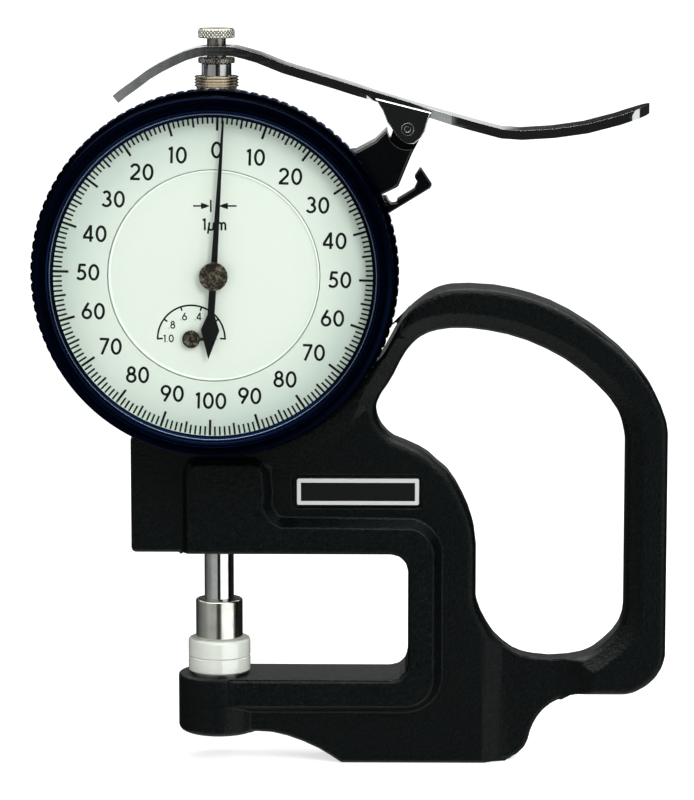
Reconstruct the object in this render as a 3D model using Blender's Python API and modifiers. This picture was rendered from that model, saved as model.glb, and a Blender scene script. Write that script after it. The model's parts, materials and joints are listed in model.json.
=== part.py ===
"""Dial thickness gauge with a loop handle, a lifting lever and flat ceramic contacts.

Metres, +Z up. The origin is the middle of the anvil's measuring face, +X points to the handle,
and the dial faces -Y. Pieces drawn in the front view are made lying flat and then stood up, so
that their own +Z points forward, to the dial's side.
"""

from math import atan2, cos, hypot, pi, radians, sin, sqrt

import bpy
import bmesh
from mathutils import Matrix

# Frame casting. The outline shares are shares of SPAN, the reach from bezel to handle.
SPAN = 0.1
BAND_HALF = 0.0065
RIM_HALF = 0.005
WEB_HALF = 0.0042
BRIDGE_HALF = 0.0022
DRAFT_BURY = 0.0015
PARTING = 0.00002
GENTLE_DRAFT_share = 1.6
STEEP_DRAFT_share = 0.55
BAND_ROUND = 0.0006
LOOP_ROUND = 0.0011
RIM_ROUND = 0.0006
WEB_ROUND = 0.0006
BRIDGE_ROUND = 0.0004
SADDLE_FLOOR = 0.0175
SADDLE_LEFT = 0.0138
SADDLE_CORNER = 0.0007
SADDLE_RADIUS = 0.029
THROAT_WALL = 0.03035
THROAT_CORNER = 0.0027
ARM_TOP = -0.00287
ARM_UNDER = -0.0119
BOSS_R = 0.0066
BOSS_TOP = ARM_TOP + PARTING
BOSS_FLOOR = -0.0123
BOSS_ROUND = 0.001
FLARE_1, FLARE_1_AT = 0.0004, 0.0037
FLARE_2, FLARE_2_AT = 0.0014, 0.00415
FLARE_3, FLARE_3_AT = 0.0026, 0.005
OVERRUN = 0.002
POCKET_LEFT, POCKET_RIGHT = 0.01195, 0.0324
POCKET_LOW, POCKET_HIGH = 0.0247, 0.0299
POCKET_DEPTH = 0.0005
POCKET_CORNER = 0.0005
PLATE_GAP = 0.0007
PLATE_PROUD = 0.0001
PLATE_CORNER = 0.0003

# Clearances, and how near two corners count as one
WELD = 1e-7
FIT = 0.0001
SNUG = 0.00005
LOOSE = 0.0003

# Anvil, spindle and what they carry
CERAMIC_R = 0.005
CERAMIC_EDGE = 0.0005
LAPPED_EDGE = 0.00012
ANVIL_H = 0.0025
CONTACT_GAP = 0.00005
CONTACT_H = 0.0029
NOSE_R = 0.0015
NOSE_H = 0.001
STUD_R = 0.0025
STUD_DEEP = 0.0075
TIP_R = 0.003775
TIP_TOP = 0.0092
TIP_CHAMFER = 0.00015
TIP_PEG_R = 0.0012
TIP_PEG_H = 0.004
SPINDLE_R = 0.002375
SPINDLE_TOP = 0.095
SPINDLE_TRAVEL = 0.001

# Dial and movement layout, in the front view
DIAL_Z = 0.0626
CENTRE_MODULE = 0.00012
CENTRE_TEETH, WHEEL_TEETH = 8, 100
SECTOR_MODULE = 0.00014
PINION_TEETH, SECTOR_TEETH = 12, 150
SECTOR_TIPS = 9
COUNTER_TEETH, COUNTER_WHEEL_TEETH = 8, 80
COUNTER_X, COUNTER_DROP = 0.00355, 0.00987
TURNS_PER_LIFT = 5
PIN_ARM = SPINDLE_TRAVEL * SECTOR_TEETH * WHEEL_TEETH / (PINION_TEETH * CENTRE_TEETH * TURNS_PER_LIFT * 2 * pi)
WHEEL_REACH = CENTRE_MODULE * (CENTRE_TEETH + WHEEL_TEETH) / 2
SECTOR_REACH = SECTOR_MODULE * (PINION_TEETH + SECTOR_TEETH) / 2
SECTOR_DROP = sqrt(SECTOR_REACH**2 - (WHEEL_REACH - PIN_ARM) ** 2)
PIVOT_Z = DIAL_Z - SECTOR_DROP
COUNTER_REACH = hypot(COUNTER_X, COUNTER_DROP)
COUNTER_MODULE = 2 * COUNTER_REACH / (COUNTER_TEETH + COUNTER_WHEEL_TEETH)
TOOTH_TIP_share, TOOTH_ROOT_share = 0.5, 0.9

# Depths of the indicator, counted forward from the spindle's axis
CASE_R = 0.0263
CASE_WALL, CASE_SHELF = 0.002, 0.0017
CASE_BORE = CASE_R - CASE_WALL
CASE_RIM_BORE = CASE_BORE - CASE_SHELF
BEZEL_PLAY = 0.0004
GLASS_LEDGE = 0.001
BEZEL_BORE = CASE_R + BEZEL_PLAY
GLASS_SEAT = BEZEL_BORE - GLASS_LEDGE
GLASS_R = GLASS_SEAT - FIT
CASE_BACK = -0.0076
CASE_RIM_DEEP = 0.0022
CASE_FRONT = 0.01
FLOOR_T = 0.0008
COVER_T = 0.0014
COVER_EDGE = 0.0004
NECK_R = 0.0039
NECK_TOP = 0.0908
PLATE_T = 0.0007
REAR_PLATE_FRONT = 0.0042
BRIDGE_R = 0.0135
BRIDGE_X, BRIDGE_DROP = 0.0012, 0.0044
SECTOR_AT, SECTOR_T = 0.0072, 0.0006
PINION_AT, PINION_T = 0.007, 0.001
WHEEL_AT, WHEEL_T = 0.0059, 0.0005
CENTRE_LEAVES_AT, CENTRE_LEAVES_T = 0.0057, 0.0009
COUNTER_LEAVES_AT, COUNTER_LEAVES_T = 0.0103, 0.0006
COUNTER_WHEEL_AT, COUNTER_WHEEL_T = 0.01038, 0.00045
ARBOR_R = 0.0003
STAFF_R = 0.0005
SPIGOT_R = 0.0002
JEWEL_R = 0.0008
HUB_BORE = SPIGOT_R + SNUG
ARBOR_END = 0.0126
PILLAR_R = 0.0012
PILLAR_STUD_R = 0.0006
PILLAR_SHARES = ((-0.78, 0.5), (0.80, -0.35), (-0.72, -0.58))
HAIR_T = 0.00012
HAIR_W = 0.0004
HAIR_AT = 0.0048
HAIR_IN, HAIR_OUT = 0.0012, 0.0046
HAIR_TURNS = 4.5
HAIR_POST_R = 0.0004
DIAL_BACK, DIAL_T = 0.0112, 0.0006
DIAL_R = 0.0164
DIAL_GAP = 0.0002
DIAL_FOOT_R = 0.0008
DIAL_FOOT_REACH = 0.0145
DIAL_FEET = (20, 140, 300)
DIAL_HOLE = 0.0006
SCALE_IN, SCALE_OUT = DIAL_R + DIAL_GAP, GLASS_R - FIT
SCALE_BACK, SCALE_T = 0.0114, 0.0006
SCALE_RIM_T = 0.0004
RETAINER_T = 0.0005
RETAINER_W = 0.0008
GLASS_BACK, GLASS_FRONT = 0.01325, 0.01445
COUNTER_HAND_AT, COUNTER_HAND_T = 0.01235, 0.00015
HAND_AT, HAND_T = 0.0128, 0.0002
HAND_TIP = 0.0243
HAND_ROOT_HALF, HAND_TIP_HALF = 0.00052, 0.00016
TAIL_HALF, SPADE_HALF = 0.00055, 0.00145
SPADE_START, SPADE_WIDE, SPADE_END = 0.006, 0.0084, 0.013
HAND_ANGLE = 3.8
HUB_R, HUB_BACK, HUB_FRONT = 0.00225, 0.01255, 0.01315
SMALL_HUB_R = 0.0014
SMALL_HAND_REACH = 0.0042
SMALL_HAND_HALF = 0.0004

# Bezel
BEZEL_WALL, KNURL_DEEP = 0.0017, 0.00045
KNURL_ROOT = BEZEL_BORE + BEZEL_WALL
BEZEL_R = KNURL_ROOT + KNURL_DEEP
KNURL_TEETH = 108
TOOTH_LAND = 0.5
BEZEL_REAR, KNURL_FRONT = 0.006, 0.0095
WAIST_STEP, SHOULDER_STEP, FACE_STEP, LIP_BITE = 0.0004, 0.00025, 0.0017, 0.00095
BEZEL_WAIST, BEZEL_WAIST_AT = KNURL_ROOT - WAIST_STEP, 0.0125
BEZEL_SHOULDER, BEZEL_SHOULDER_AT = BEZEL_WAIST - SHOULDER_STEP, 0.0148
BEZEL_FACE, BEZEL_FACE_AT = BEZEL_SHOULDER - FACE_STEP, 0.0155
LIP_R, LIP_BACK, LIP_FRONT = GLASS_SEAT - LIP_BITE, 0.0145, 0.01475
SNAP_AT = 0.0075
SNAP_T, SNAP_W = 0.0004, 0.0009
SNAP_BITE = 0.0004

# Stem, bushes and the top of the spindle
STEM_R = 0.004
STEM_FLOOR = 0.0179
STEM_TOP = 0.0401
STEM_HEAD_R, STEM_HEAD_LOW = 0.0049, 0.0391
BORE_R = SPINDLE_R + FIT
SET_SCREW_Z, SET_SCREW_R = 0.0255, 0.0014
SET_SCREW_END = 0.0062
HEX_R, HEX_DEEP = 0.0008, 0.0012
BUSH_R, BUSH_LOW = 0.0029, 0.085
COLLAR_R, COLLAR_LOW, COLLAR_TOP = 0.0035, 0.0913, 0.0931
COLLAR_ROOT = 0.0032
COLLAR_RIDGES = 4
KNOB_R, KNOB_CHAMFER = 0.0029, 0.0003
KNOB_STEM_R = 0.0015
RING_TOP, KNOB_LOW, KNOB_TOP = 0.09595, 0.09895, 0.1005

# Drive collar and the measuring spring
DRIVE_R, DRIVE_H = 0.0032, 0.002
DRIVE_PIN_R, DRIVE_PIN_END = 0.0005, 0.0081
SLOT_HALF, SLOT_PLAY = 0.0008, 0.0006
SPRING_X, SPRING_Y = -0.0085, 0.0015
DRIVE_ARM_HALF, DRIVE_ARM_H = 0.0007, 0.0012
WIRE_R, COIL_R = 0.0002, 0.0014
COIL_LOW, COIL_PITCH, COIL_TURNS = 0.043, 0.001, 7
COIL_POINTS = 8
POST_Z, POST_R = 0.0415, 0.0006
SPRING_CLEAR = 0.0001

# Lifting lever and its bracket
LEVER_T = 0.00145
LEVER_HALF, LEVER_WAIST = 0.0046, 0.0034
LEVER_LEFT, LEVER_RIGHT = 0.0161, 0.0682
SLOT_R, SLOT_REACH = 0.0019, 0.0024
EAR_OUT, EAR_T = 0.0044, 0.0014
EAR_ROUND = 0.0004
PIVOT_OUT, PIVOT_DEG = 0.01116, 36.53
LEVER_PIVOT_X = (CASE_R + PIVOT_OUT) * cos(radians(PIVOT_DEG))
LEVER_PIVOT_Z = DIAL_Z + (CASE_R + PIVOT_OUT) * sin(radians(PIVOT_DEG))
LEVER_PIN_R = 0.00095
LEVER_PIN_HALF = 0.0045
PIN_BORE_R, PIN_BORE_DEEP = 0.0005, 0.0007
BRACKET_HALF, BRACKET_ROUND = 0.0045, 0.0003
LUG_HALF, LUG_R = 0.0024, 0.0022
RELIEF_R = 0.0032
BRACKET_SEAT = CASE_R + SNUG
BRACKET_SCREW_DEG = 33.5
BRACKET_SCREW_Y = 0.0026
BRACKET_SCREW_R, BRACKET_SCREW_HEAD = 0.0006, 0.0011
BRACKET_SCREW_H, BRACKET_SCREW_DEEP = 0.0006, 0.0009
FOOT_WALL, FOOT_LOW_DEG, FOOT_HIGH_DEG = 0.0021, 17, 30
FOOT_OUT = CASE_R + FOOT_WALL
FOOT_BACK, FOOT_FRONT = -0.0045, 0.0012
CLAMP_OUT, CLAMP_DEG = 0.00199, 21.62
CLAMP_X = (CASE_R + CLAMP_OUT) * cos(radians(CLAMP_DEG))
CLAMP_Z = DIAL_Z + (CASE_R + CLAMP_OUT) * sin(radians(CLAMP_DEG))
CLAMP_LUG_R, CLAMP_RIVET_R, CLAMP_HEAD_R = 0.0009, 0.00045, 0.00072
CLAMP_BACK, CLAMP_FRONT = 0.0015, 0.0042
CLAMP_ROUND = 0.0002
CLAMP_HEAD_T = 0.00025

# Back cover screws
COVER_SCREW_REACH = (CASE_R + CASE_RIM_BORE) / 2
COVER_SCREW_R, COVER_HEAD_R = 0.0007, 0.0014
COVER_HEAD_T, COVER_SCREW_DEEP = 0.0007, 0.0019
COVER_SCREW_DEGREES = (45, 135, 225, 315)
DRIVE_SLOT_T, DRIVE_SLOT_DEEP = 0.0003, 0.0003

# How finely round things are divided
FINE, PLAIN, ROUND, COARSE, SMALL = 56, 36, 32, 18, 8

# Outlines, as shares of SPAN
BELLY_SHARES = (
    (0.0610, -0.1190), (0.0850, -0.1200), (0.1100, -0.1260), (0.1350, -0.1350), (0.1600, -0.1465),
    (0.1780, -0.1575), (0.1970, -0.1700), (0.4350, -0.1700), (0.4650, -0.1675), (0.4800, -0.1600),
    (0.4920, -0.1480), (0.4980, -0.1350), (0.5010, -0.1220), (0.5060, -0.1095), (0.5130, -0.0970),
    (0.5220, -0.0860), (0.5330, -0.0770), (0.5450, -0.0695), (0.5600, -0.0620), (0.5750, -0.0575),
    (0.5880, -0.0560),
)
HANDLE_LOW_SHARES = ((0.650, -0.056), (0.665, -0.053), (0.685, -0.042), (0.700, -0.028), (0.710, -0.011), (0.715, 0.007))
HANDLE_TOP_SHARES = (
    (0.7150, 0.3700), (0.7120, 0.3880), (0.7030, 0.4130), (0.6900, 0.4400), (0.6700, 0.4680), (0.6400, 0.4990),
    (0.6000, 0.5320), (0.5600, 0.5570), (0.5300, 0.5720), (0.5000, 0.5830), (0.4700, 0.5910), (0.4400, 0.5965),
    (0.4000, 0.5990), (0.3700, 0.5980), (0.3500, 0.5930), (0.3300, 0.5820), (0.3100, 0.5660), (0.2950, 0.5500),
    (0.2800, 0.5240), (0.2640, 0.4940),
)
SADDLE_ARC = (-30.5, -36, -43, -50, -58, -66, -74, -82, -90, -98, -106, -113, -116.5)
OPENING_SHARES = (
    (0.252, 0.401), (0.253, 0.413), (0.260, 0.4285), (0.270, 0.4425), (0.280, 0.4595), (0.290, 0.480),
    (0.300, 0.497), (0.310, 0.509), (0.320, 0.518), (0.335, 0.526), (0.350, 0.530), (0.370, 0.533),
    (0.400, 0.533), (0.4305, 0.529), (0.4605, 0.523), (0.491, 0.5135), (0.521, 0.5005), (0.551, 0.4845),
    (0.581, 0.4625), (0.601, 0.4445), (0.6215, 0.4235), (0.6365, 0.4015), (0.6445, 0.381), (0.650, 0.356),
    (0.650, 0.085), (0.6485, 0.070), (0.6435, 0.055), (0.632, 0.038), (0.616, 0.023), (0.601, 0.011),
    (0.586, 0.004), (0.561, -0.001), (0.531, -0.003), (0.501, 0.000), (0.486, 0.0035), (0.471, 0.010),
    (0.456, 0.021), (0.440, 0.037), (0.430, 0.0525), (0.420, 0.071), (0.414, 0.0885), (0.412, 0.102),
    (0.412, 0.186), (0.409, 0.2105), (0.405, 0.2255), (0.399, 0.2435), (0.390, 0.2635), (0.379, 0.284),
    (0.365, 0.304), (0.350, 0.316), (0.335, 0.330), (0.320, 0.339), (0.300, 0.348), (0.280, 0.356),
    (0.270, 0.364), (0.260, 0.376), (0.254, 0.389),
)
WEB_SHARES = ((-0.25, -0.25), (0.422, -0.25), (0.422, 0.08), (0.50, 0.20), (0.80, 0.20), (0.80, 0.70), (-0.25, 0.70))
RIM_SHARES = (
    (-0.250, 0.100), (0.030, 0.100), (0.030, 0.250), (0.072, 0.310), (0.080, 0.3205), (0.088, 0.3285), (0.100, 0.3325),
    (0.120, 0.3395), (0.140, 0.3495), (0.200, 0.388), (0.250, 0.435), (0.290, 0.500), (0.290, 0.650), (-0.250, 0.650),
)
LOOP_SHARES = (
    (0.60, -0.15), (0.60, 0.04), (0.50, 0.30), (0.28, 0.44), (0.20, 0.52), (0.25, 0.70), (0.80, 0.70), (0.80, -0.15),
)
BAND_SHARES = (
    (-0.047, 0.100), (-0.047, 0.305), (-0.0425, 0.3155), (-0.032, 0.320), (0.0565, 0.320), (0.067, 0.3155),
    (0.0715, 0.305), (0.074, 0.275), (0.073, 0.250), (0.077, 0.240), (0.085, 0.228), (0.093, 0.222),
    (0.102, 0.219), (0.310, 0.2165), (0.320, 0.213), (0.330, 0.206), (0.340, 0.193), (0.3445, 0.180),
    (0.3445, -0.030), (0.342, -0.040), (0.338, -0.050), (0.330, -0.060), (0.318, -0.068), (0.300, -0.072),
    (0.000, -0.0725), (0.000, 0.100),
)
LEVER_SHARES = (
    (-0.161, 0.901), (-0.150, 0.910), (-0.130, 0.924), (-0.110, 0.939), (-0.090, 0.951), (-0.070, 0.961),
    (-0.050, 0.970), (-0.030, 0.976), (-0.015, 0.978), (0.015, 0.978), (0.030, 0.977), (0.050, 0.972),
    (0.070, 0.966), (0.110, 0.950), (0.140, 0.941), (0.190, 0.926), (0.250, 0.907), (0.340, 0.880),
    (0.370, 0.871), (0.405, 0.861), (0.450, 0.849), (0.480, 0.847), (0.530, 0.850), (0.580, 0.857),
    (0.630, 0.870), (0.660, 0.880), (0.685, 0.889),
)
LEVER_PLAN_SHARES = ((0.223, 0.046), (0.250, 0.034), (0.343, 0.034), (0.370, 0.046), (0.645, 0.046), (0.662, 0.041), (0.674, 0.030), (0.681, 0.012))
EAR_SHARES = (
    (0.250, 0.897), (0.262, 0.878), (0.269, 0.860), (0.275, 0.852), (0.283, 0.840), (0.290, 0.832), (0.297, 0.827),
    (0.302, 0.8255), (0.311, 0.826), (0.322, 0.835), (0.328, 0.846), (0.331, 0.856), (0.336, 0.872), (0.339, 0.8745),
)
BRACKET_SHARES = (
    (-0.099, -0.037), (-0.081, -0.035), (-0.051, -0.019), (-0.036, -0.004), (-0.029, 0.002),
    (-0.001, 0.001), (0.021, -0.011), (0.01, -0.031), (-0.001, -0.058), (-0.011, -0.082),
    (-0.014, -0.089), (-0.018, -0.092), (-0.041, -0.103), (-0.051, -0.108),
)
LUG_SHARES = (
    (-0.0215, 0.001), (-0.029, -0.023), (-0.031, -0.049), (-0.001, -0.054), (0.018, -0.019),
    (0.0215, 0.001),
)
CLAMP_SHARES = (
    (-0.002, 0.0115), (-0.0125, 0.0055), (-0.0105, -0.0015), (-0.007, -0.009), (0.001, -0.0148),
    (0.009, -0.0135), (0.0735, 0.026), (0.0772, 0.0315), (0.0585, 0.0595), (0.0485, 0.0445),
    (0.0535, 0.036), (0.0485, 0.0255), (0.022, 0.0095), (0.0215, 0.0035), (0.0135, 0.0025),
    (0.0075, 0.0075), (0.0035, 0.015),
)


def clear_scene():
    for obj in list(bpy.data.objects):
        bpy.data.objects.remove(obj)


def make_collection(name):
    collection = bpy.data.collections.new(name)
    bpy.context.scene.collection.children.link(collection)
    return collection


def make_material(name, colour, metallic, roughness):
    material = bpy.data.materials.new(name)
    material.use_nodes = True
    shader = material.node_tree.nodes["Principled BSDF"]
    shader.inputs["Base Color"].default_value = (*colour, 1)
    shader.inputs["Metallic"].default_value = metallic
    shader.inputs["Roughness"].default_value = roughness
    return material


def add_object(name, data):
    obj = bpy.data.objects.new(name, data)
    PARTS.objects.link(obj)
    return obj


def bake(obj):
    """Keeps the object's shape as its modifiers leave it, as one clean mesh."""
    bpy.context.view_layer.update()
    graph = bpy.context.evaluated_depsgraph_get()
    mesh = bpy.data.meshes.new_from_object(obj.evaluated_get(graph))
    old = obj.data
    obj.modifiers.clear()
    obj.data = mesh
    bpy.data.meshes.remove(old)


def tidy(obj, flip=True):
    shape = bmesh.new()
    shape.from_mesh(obj.data)
    bmesh.ops.remove_doubles(shape, verts=shape.verts, dist=WELD)
    if flip:
        bmesh.ops.recalc_face_normals(shape, faces=shape.faces)
    shape.to_mesh(obj.data)
    shape.free()


def combine(target, tool, operation):
    step = target.modifiers.new(operation.lower(), "BOOLEAN")
    step.object = tool
    step.operation = operation
    step.solver = "EXACT"
    bake(target)
    bpy.data.objects.remove(tool)


def join(target, *tools):
    for tool in tools:
        combine(target, tool, "UNION")


def cut(target, *tools):
    for tool in tools:
        combine(target, tool, "DIFFERENCE")


def keep_inside(target, tool):
    combine(target, tool, "INTERSECT")


def soften(obj, width, segments=2, angle=60):
    step = obj.modifiers.new("rounded_edges", "BEVEL")
    step.width = width
    step.segments = segments
    step.limit_method = "ANGLE"
    step.angle_limit = radians(angle)
    bake(obj)


def stand(obj, x=0.0, z=0.0):
    """Turns a piece drawn flat in the front view upright, about the point it was drawn round."""
    obj.rotation_euler = (pi / 2, 0, 0)
    obj.location = (x, 0, z)
    return obj


def flat(name, outline, low, high):
    """A plate of this outline, from low to high along its own +Z."""
    curve = bpy.data.curves.new(name, "CURVE")
    curve.dimensions = "2D"
    curve.fill_mode = "BOTH"
    curve.extrude = (high - low) / 2
    spline = curve.splines.new("POLY")
    spline.points.add(len(outline) - 1)
    for point, (x, y) in zip(spline.points, outline):
        point.co = (x, y, 0, 1)
    spline.use_cyclic_u = True
    source = add_object(name + "_outline", curve)
    bpy.context.view_layer.update()
    graph = bpy.context.evaluated_depsgraph_get()
    mesh = bpy.data.meshes.new_from_object(source.evaluated_get(graph))
    bpy.data.objects.remove(source)
    mesh.transform(Matrix.Translation((0, 0, (high + low) / 2)))
    obj = add_object(name, mesh)
    tidy(obj)
    return obj


def drum(name, radius, low, high, steps):
    shape = bmesh.new()
    middle = Matrix.Translation((0, 0, (low + high) / 2))
    bmesh.ops.create_cone(
        shape, cap_ends=True, segments=steps, radius1=radius, radius2=radius, depth=high - low, matrix=middle
    )
    mesh = bpy.data.meshes.new(name)
    shape.to_mesh(mesh)
    shape.free()
    return add_object(name, mesh)


def block(name, low, high):
    """A box between two opposite corners."""
    size = [b - a for a, b in zip(low, high)]
    middle = [(a + b) / 2 for a, b in zip(low, high)]
    shape = bmesh.new()
    bmesh.ops.create_cube(shape, size=1, matrix=Matrix.Translation(middle) @ Matrix.Diagonal((*size, 1)))
    mesh = bpy.data.meshes.new(name)
    shape.to_mesh(mesh)
    shape.free()
    return add_object(name, mesh)


def turned(name, profile, steps, ring=False):
    """A profile of (radius, height) points spun about its own Z. It runs down the outer side."""
    mesh = bpy.data.meshes.new(name)
    count = len(profile)
    edges = [(k, k + 1) for k in range(count - 1)] + ([(count - 1, 0)] if ring else [])
    mesh.from_pydata([(r, 0, z) for r, z in profile], edges, [])
    obj = add_object(name, mesh)
    spin = obj.modifiers.new("turned", "SCREW")
    spin.steps = steps
    spin.render_steps = steps
    spin.use_merge_vertices = True
    spin.merge_threshold = WELD
    bake(obj)
    tidy(obj)
    return obj


def lofted(name, sections):
    """Skins equal counted outlines, each given with its height, and closes both ends."""
    count = len(sections[0][0])
    points = [(x, y, height) for outline, height in sections for x, y in outline]
    faces = [tuple(range(count))[::-1], tuple(range(len(points) - count, len(points)))]
    for level in range(len(sections) - 1):
        for k in range(count):
            a, b = level * count + k, level * count + (k + 1) % count
            faces.append((a, b, b + count, a + count))
    mesh = bpy.data.meshes.new(name)
    mesh.from_pydata(points, [], faces)
    obj = add_object(name, mesh)
    tidy(obj)
    return obj


def area(points):
    return sum(a[0] * b[1] - b[0] * a[1] for a, b in zip(points, points[1:] + points[:1])) / 2


def grown(points, distance):
    """The outline moved outwards by the distance, each corner kept as one point."""
    side = 1 if area(points) > 0 else -1
    result = []
    for before, here, after in zip(points[-1:] + points[:-1], points, points[1:] + points[:1]):
        first = (here[0] - before[0], here[1] - before[1])
        second = (after[0] - here[0], after[1] - here[1])
        first_length, second_length = hypot(*first), hypot(*second)
        nx = side * (first[1] / first_length + second[1] / second_length)
        ny = -side * (first[0] / first_length + second[0] / second_length)
        bend = (nx * nx + ny * ny) / 2
        result.append((here[0] + distance * nx / bend, here[1] + distance * ny / bend))
    return result


def spread(shares, x=0, y=0):
    """The outline of a table of shares, drawn round the point x, y."""
    return [(x + SPAN * a, y + SPAN * b) for a, b in shares]


def arc(x, y, radius, degrees):
    return [(x + radius * cos(radians(a)), y + radius * sin(radians(a))) for a in degrees]


def corner(x, y, radius, start):
    """A quarter round about a centre, in four points, counted anticlockwise from the start angle."""
    return arc(x, y, radius, [start + share * 90 for share in (0, 1 / 3, 2 / 3, 1)])


def finish(obj, material):
    obj.data.materials.clear()
    obj.data.materials.append(material)
    obj.data.shade_smooth()
    obj.data.set_sharp_from_angle(angle=radians(32))
    return obj


def silhouette(heel):
    """The whole frame seen from the front, without its opening, anticlockwise. The heel is its lower left corner."""
    shelf = corner(THROAT_WALL - THROAT_CORNER, ARM_TOP + THROAT_CORNER, THROAT_CORNER, -90)
    roof = corner(THROAT_WALL - THROAT_CORNER, SADDLE_FLOOR - THROAT_CORNER, THROAT_CORNER, 0)
    foot = corner(-SADDLE_LEFT + heel, SADDLE_FLOOR + heel, heel, 180)
    saddle = arc(0, DIAL_Z, SADDLE_RADIUS, SADDLE_ARC)
    side = [(-SADDLE_LEFT, saddle[-1][1] - SADDLE_CORNER)]
    start = [(BOSS_R / 4, ARM_UNDER)]
    low = start + spread(BELLY_SHARES) + spread(HANDLE_LOW_SHARES)
    high = spread(HANDLE_TOP_SHARES) + saddle + side + foot
    throat = roof[::-1] + shelf[::-1] + [(BOSS_R / 4, ARM_TOP)]
    return low + high + throat


def rounded_silhouette(name, half, edge, segments, step):
    """Each lower level stands a hair further in, so that no two levels share a side wall."""
    outline = silhouette(max(SADDLE_CORNER, edge * 1.3))
    turns = [90 * k / segments for k in range(segments + 1)]
    side = [(edge * (1 - cos(radians(a))), half - edge * (1 - sin(radians(a)))) for a in turns]
    upper = [(grown(outline, -step * PARTING - inset), height) for inset, height in side]
    lower = [(ring, -height) for ring, height in upper[::-1]]
    return lofted(name, lower + upper)


def raised(name, shares, half, draft_share, bury, edge, step):
    """A raised field of the casting, with drafted sides, kept inside the frame's rounded silhouette."""
    outline = spread(shares)
    foot = grown(outline, draft_share * bury)
    body = lofted(name, [(outline, -half), (foot, bury - half), (foot, half - bury), (outline, half)])
    keep_inside(body, rounded_silhouette(name + "_limit", half, edge, 2, step))
    return body


def opening_cutter():
    """The handle's opening, which flares towards both faces."""
    outline = spread(OPENING_SHARES)
    out = RIM_HALF + OVERRUN
    wide = FLARE_3 + (FLARE_3 - FLARE_2) * OVERRUN / (FLARE_3_AT - FLARE_2_AT)
    steps = [(wide, out), (FLARE_3, FLARE_3_AT), (FLARE_2, FLARE_2_AT), (FLARE_1, FLARE_1_AT), (0, WEB_HALF / 2)]
    front = [(grown(outline, reach), height) for reach, height in steps]
    back = [(outline, -height) for outline, height in front]
    return lofted("opening", back + front[::-1])


def rounded_rectangle(left, right, low, high, radius):
    return (
        corner(right - radius, high - radius, radius, 0)
        + corner(left + radius, high - radius, radius, 90)
        + corner(left + radius, low + radius, radius, 180)
        + corner(right - radius, low + radius, radius, 270)
    )


def upright(name, radius, low, high, steps, x=0.0, y=0.0):
    obj = drum(name, radius, low, high, steps)
    obj.location = (x, y, 0)
    return obj


def build_frame():
    frame = stand(rounded_silhouette("frame", BRIDGE_HALF, BRIDGE_ROUND, 1, 4))
    web = raised("web", WEB_SHARES, WEB_HALF, GENTLE_DRAFT_share, WEB_HALF - BRIDGE_HALF / 2, WEB_ROUND, 3)
    loop = raised("loop", LOOP_SHARES, RIM_HALF, GENTLE_DRAFT_share, RIM_HALF - BRIDGE_HALF / 3, LOOP_ROUND, 1)
    rim = raised("rim", RIM_SHARES, RIM_HALF - PARTING, GENTLE_DRAFT_share, DRAFT_BURY, RIM_ROUND, 2)
    band = raised("band", BAND_SHARES, BAND_HALF, STEEP_DRAFT_share, BAND_HALF - WEB_HALF / 2, BAND_ROUND, 0)
    join(frame, stand(web), stand(rim), stand(loop), stand(band))
    boss = [
        (0, BOSS_TOP), (BOSS_R - BOSS_ROUND / 4, BOSS_TOP), (BOSS_R, BOSS_TOP - BOSS_ROUND / 4),
        (BOSS_R, BOSS_FLOOR + BOSS_ROUND), (BOSS_R - BOSS_ROUND * 0.3, BOSS_FLOOR + BOSS_ROUND * 0.3),
        (BOSS_R - BOSS_ROUND, BOSS_FLOOR), (0, BOSS_FLOOR),
    ]
    join(frame, turned("boss", boss, PLAIN))
    cut(frame, stand(opening_cutter()))
    pocket = rounded_rectangle(POCKET_LEFT, POCKET_RIGHT, POCKET_LOW, POCKET_HIGH, POCKET_CORNER)
    cut(frame, stand(flat("pocket", pocket, WEB_HALF - POCKET_DEPTH, WEB_HALF + OVERRUN)))
    cut(frame, upright("stem_bore", STEM_R + SNUG, SADDLE_FLOOR - OVERRUN, STEM_HEAD_LOW, ROUND))
    cut(frame, upright("stud_bore", STUD_R + SNUG, ARM_TOP - STUD_DEEP - LOOSE, ARM_TOP + OVERRUN, COARSE))
    screw_hole = drum("screw_hole", SET_SCREW_R + SNUG, -BAND_HALF - OVERRUN, -STEM_R / 2, SMALL)
    cut(frame, stand(screw_hole, 0, SET_SCREW_Z))
    finish(frame, PAINT)


def build_name_plate():
    outline = rounded_rectangle(
        POCKET_LEFT + PLATE_GAP, POCKET_RIGHT - PLATE_GAP / 2, POCKET_LOW + PLATE_GAP * 0.7, POCKET_HIGH - PLATE_GAP * 0.7,
        PLATE_CORNER,
    )
    plate = flat("name_plate", outline, WEB_HALF - POCKET_DEPTH, WEB_HALF + PLATE_PROUD)
    finish(stand(plate), PLATED)


def build_anvil():
    stud_top = -ANVIL_H
    stud = [
        (0, stud_top + NOSE_H), (NOSE_R - SNUG, stud_top + NOSE_H), (NOSE_R - SNUG, stud_top),
        (CERAMIC_R - CERAMIC_EDGE, stud_top), (CERAMIC_R - CERAMIC_EDGE, BOSS_TOP), (STUD_R, BOSS_TOP),
        (STUD_R, ARM_TOP - STUD_DEEP), (0, ARM_TOP - STUD_DEEP),
    ]
    finish(turned("anvil_stud", stud, ROUND), STEEL)
    e = CERAMIC_EDGE / 2
    disc = [
        (0, 0), (CERAMIC_R - LAPPED_EDGE, 0), (CERAMIC_R, -LAPPED_EDGE),
        (CERAMIC_R, stud_top + e), (CERAMIC_R - e, stud_top), (NOSE_R, stud_top),
        (NOSE_R, stud_top + NOSE_H + SNUG), (0, stud_top + NOSE_H + SNUG),
    ]
    finish(turned("anvil_ceramic", disc, ROUND), CERAMIC)


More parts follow.
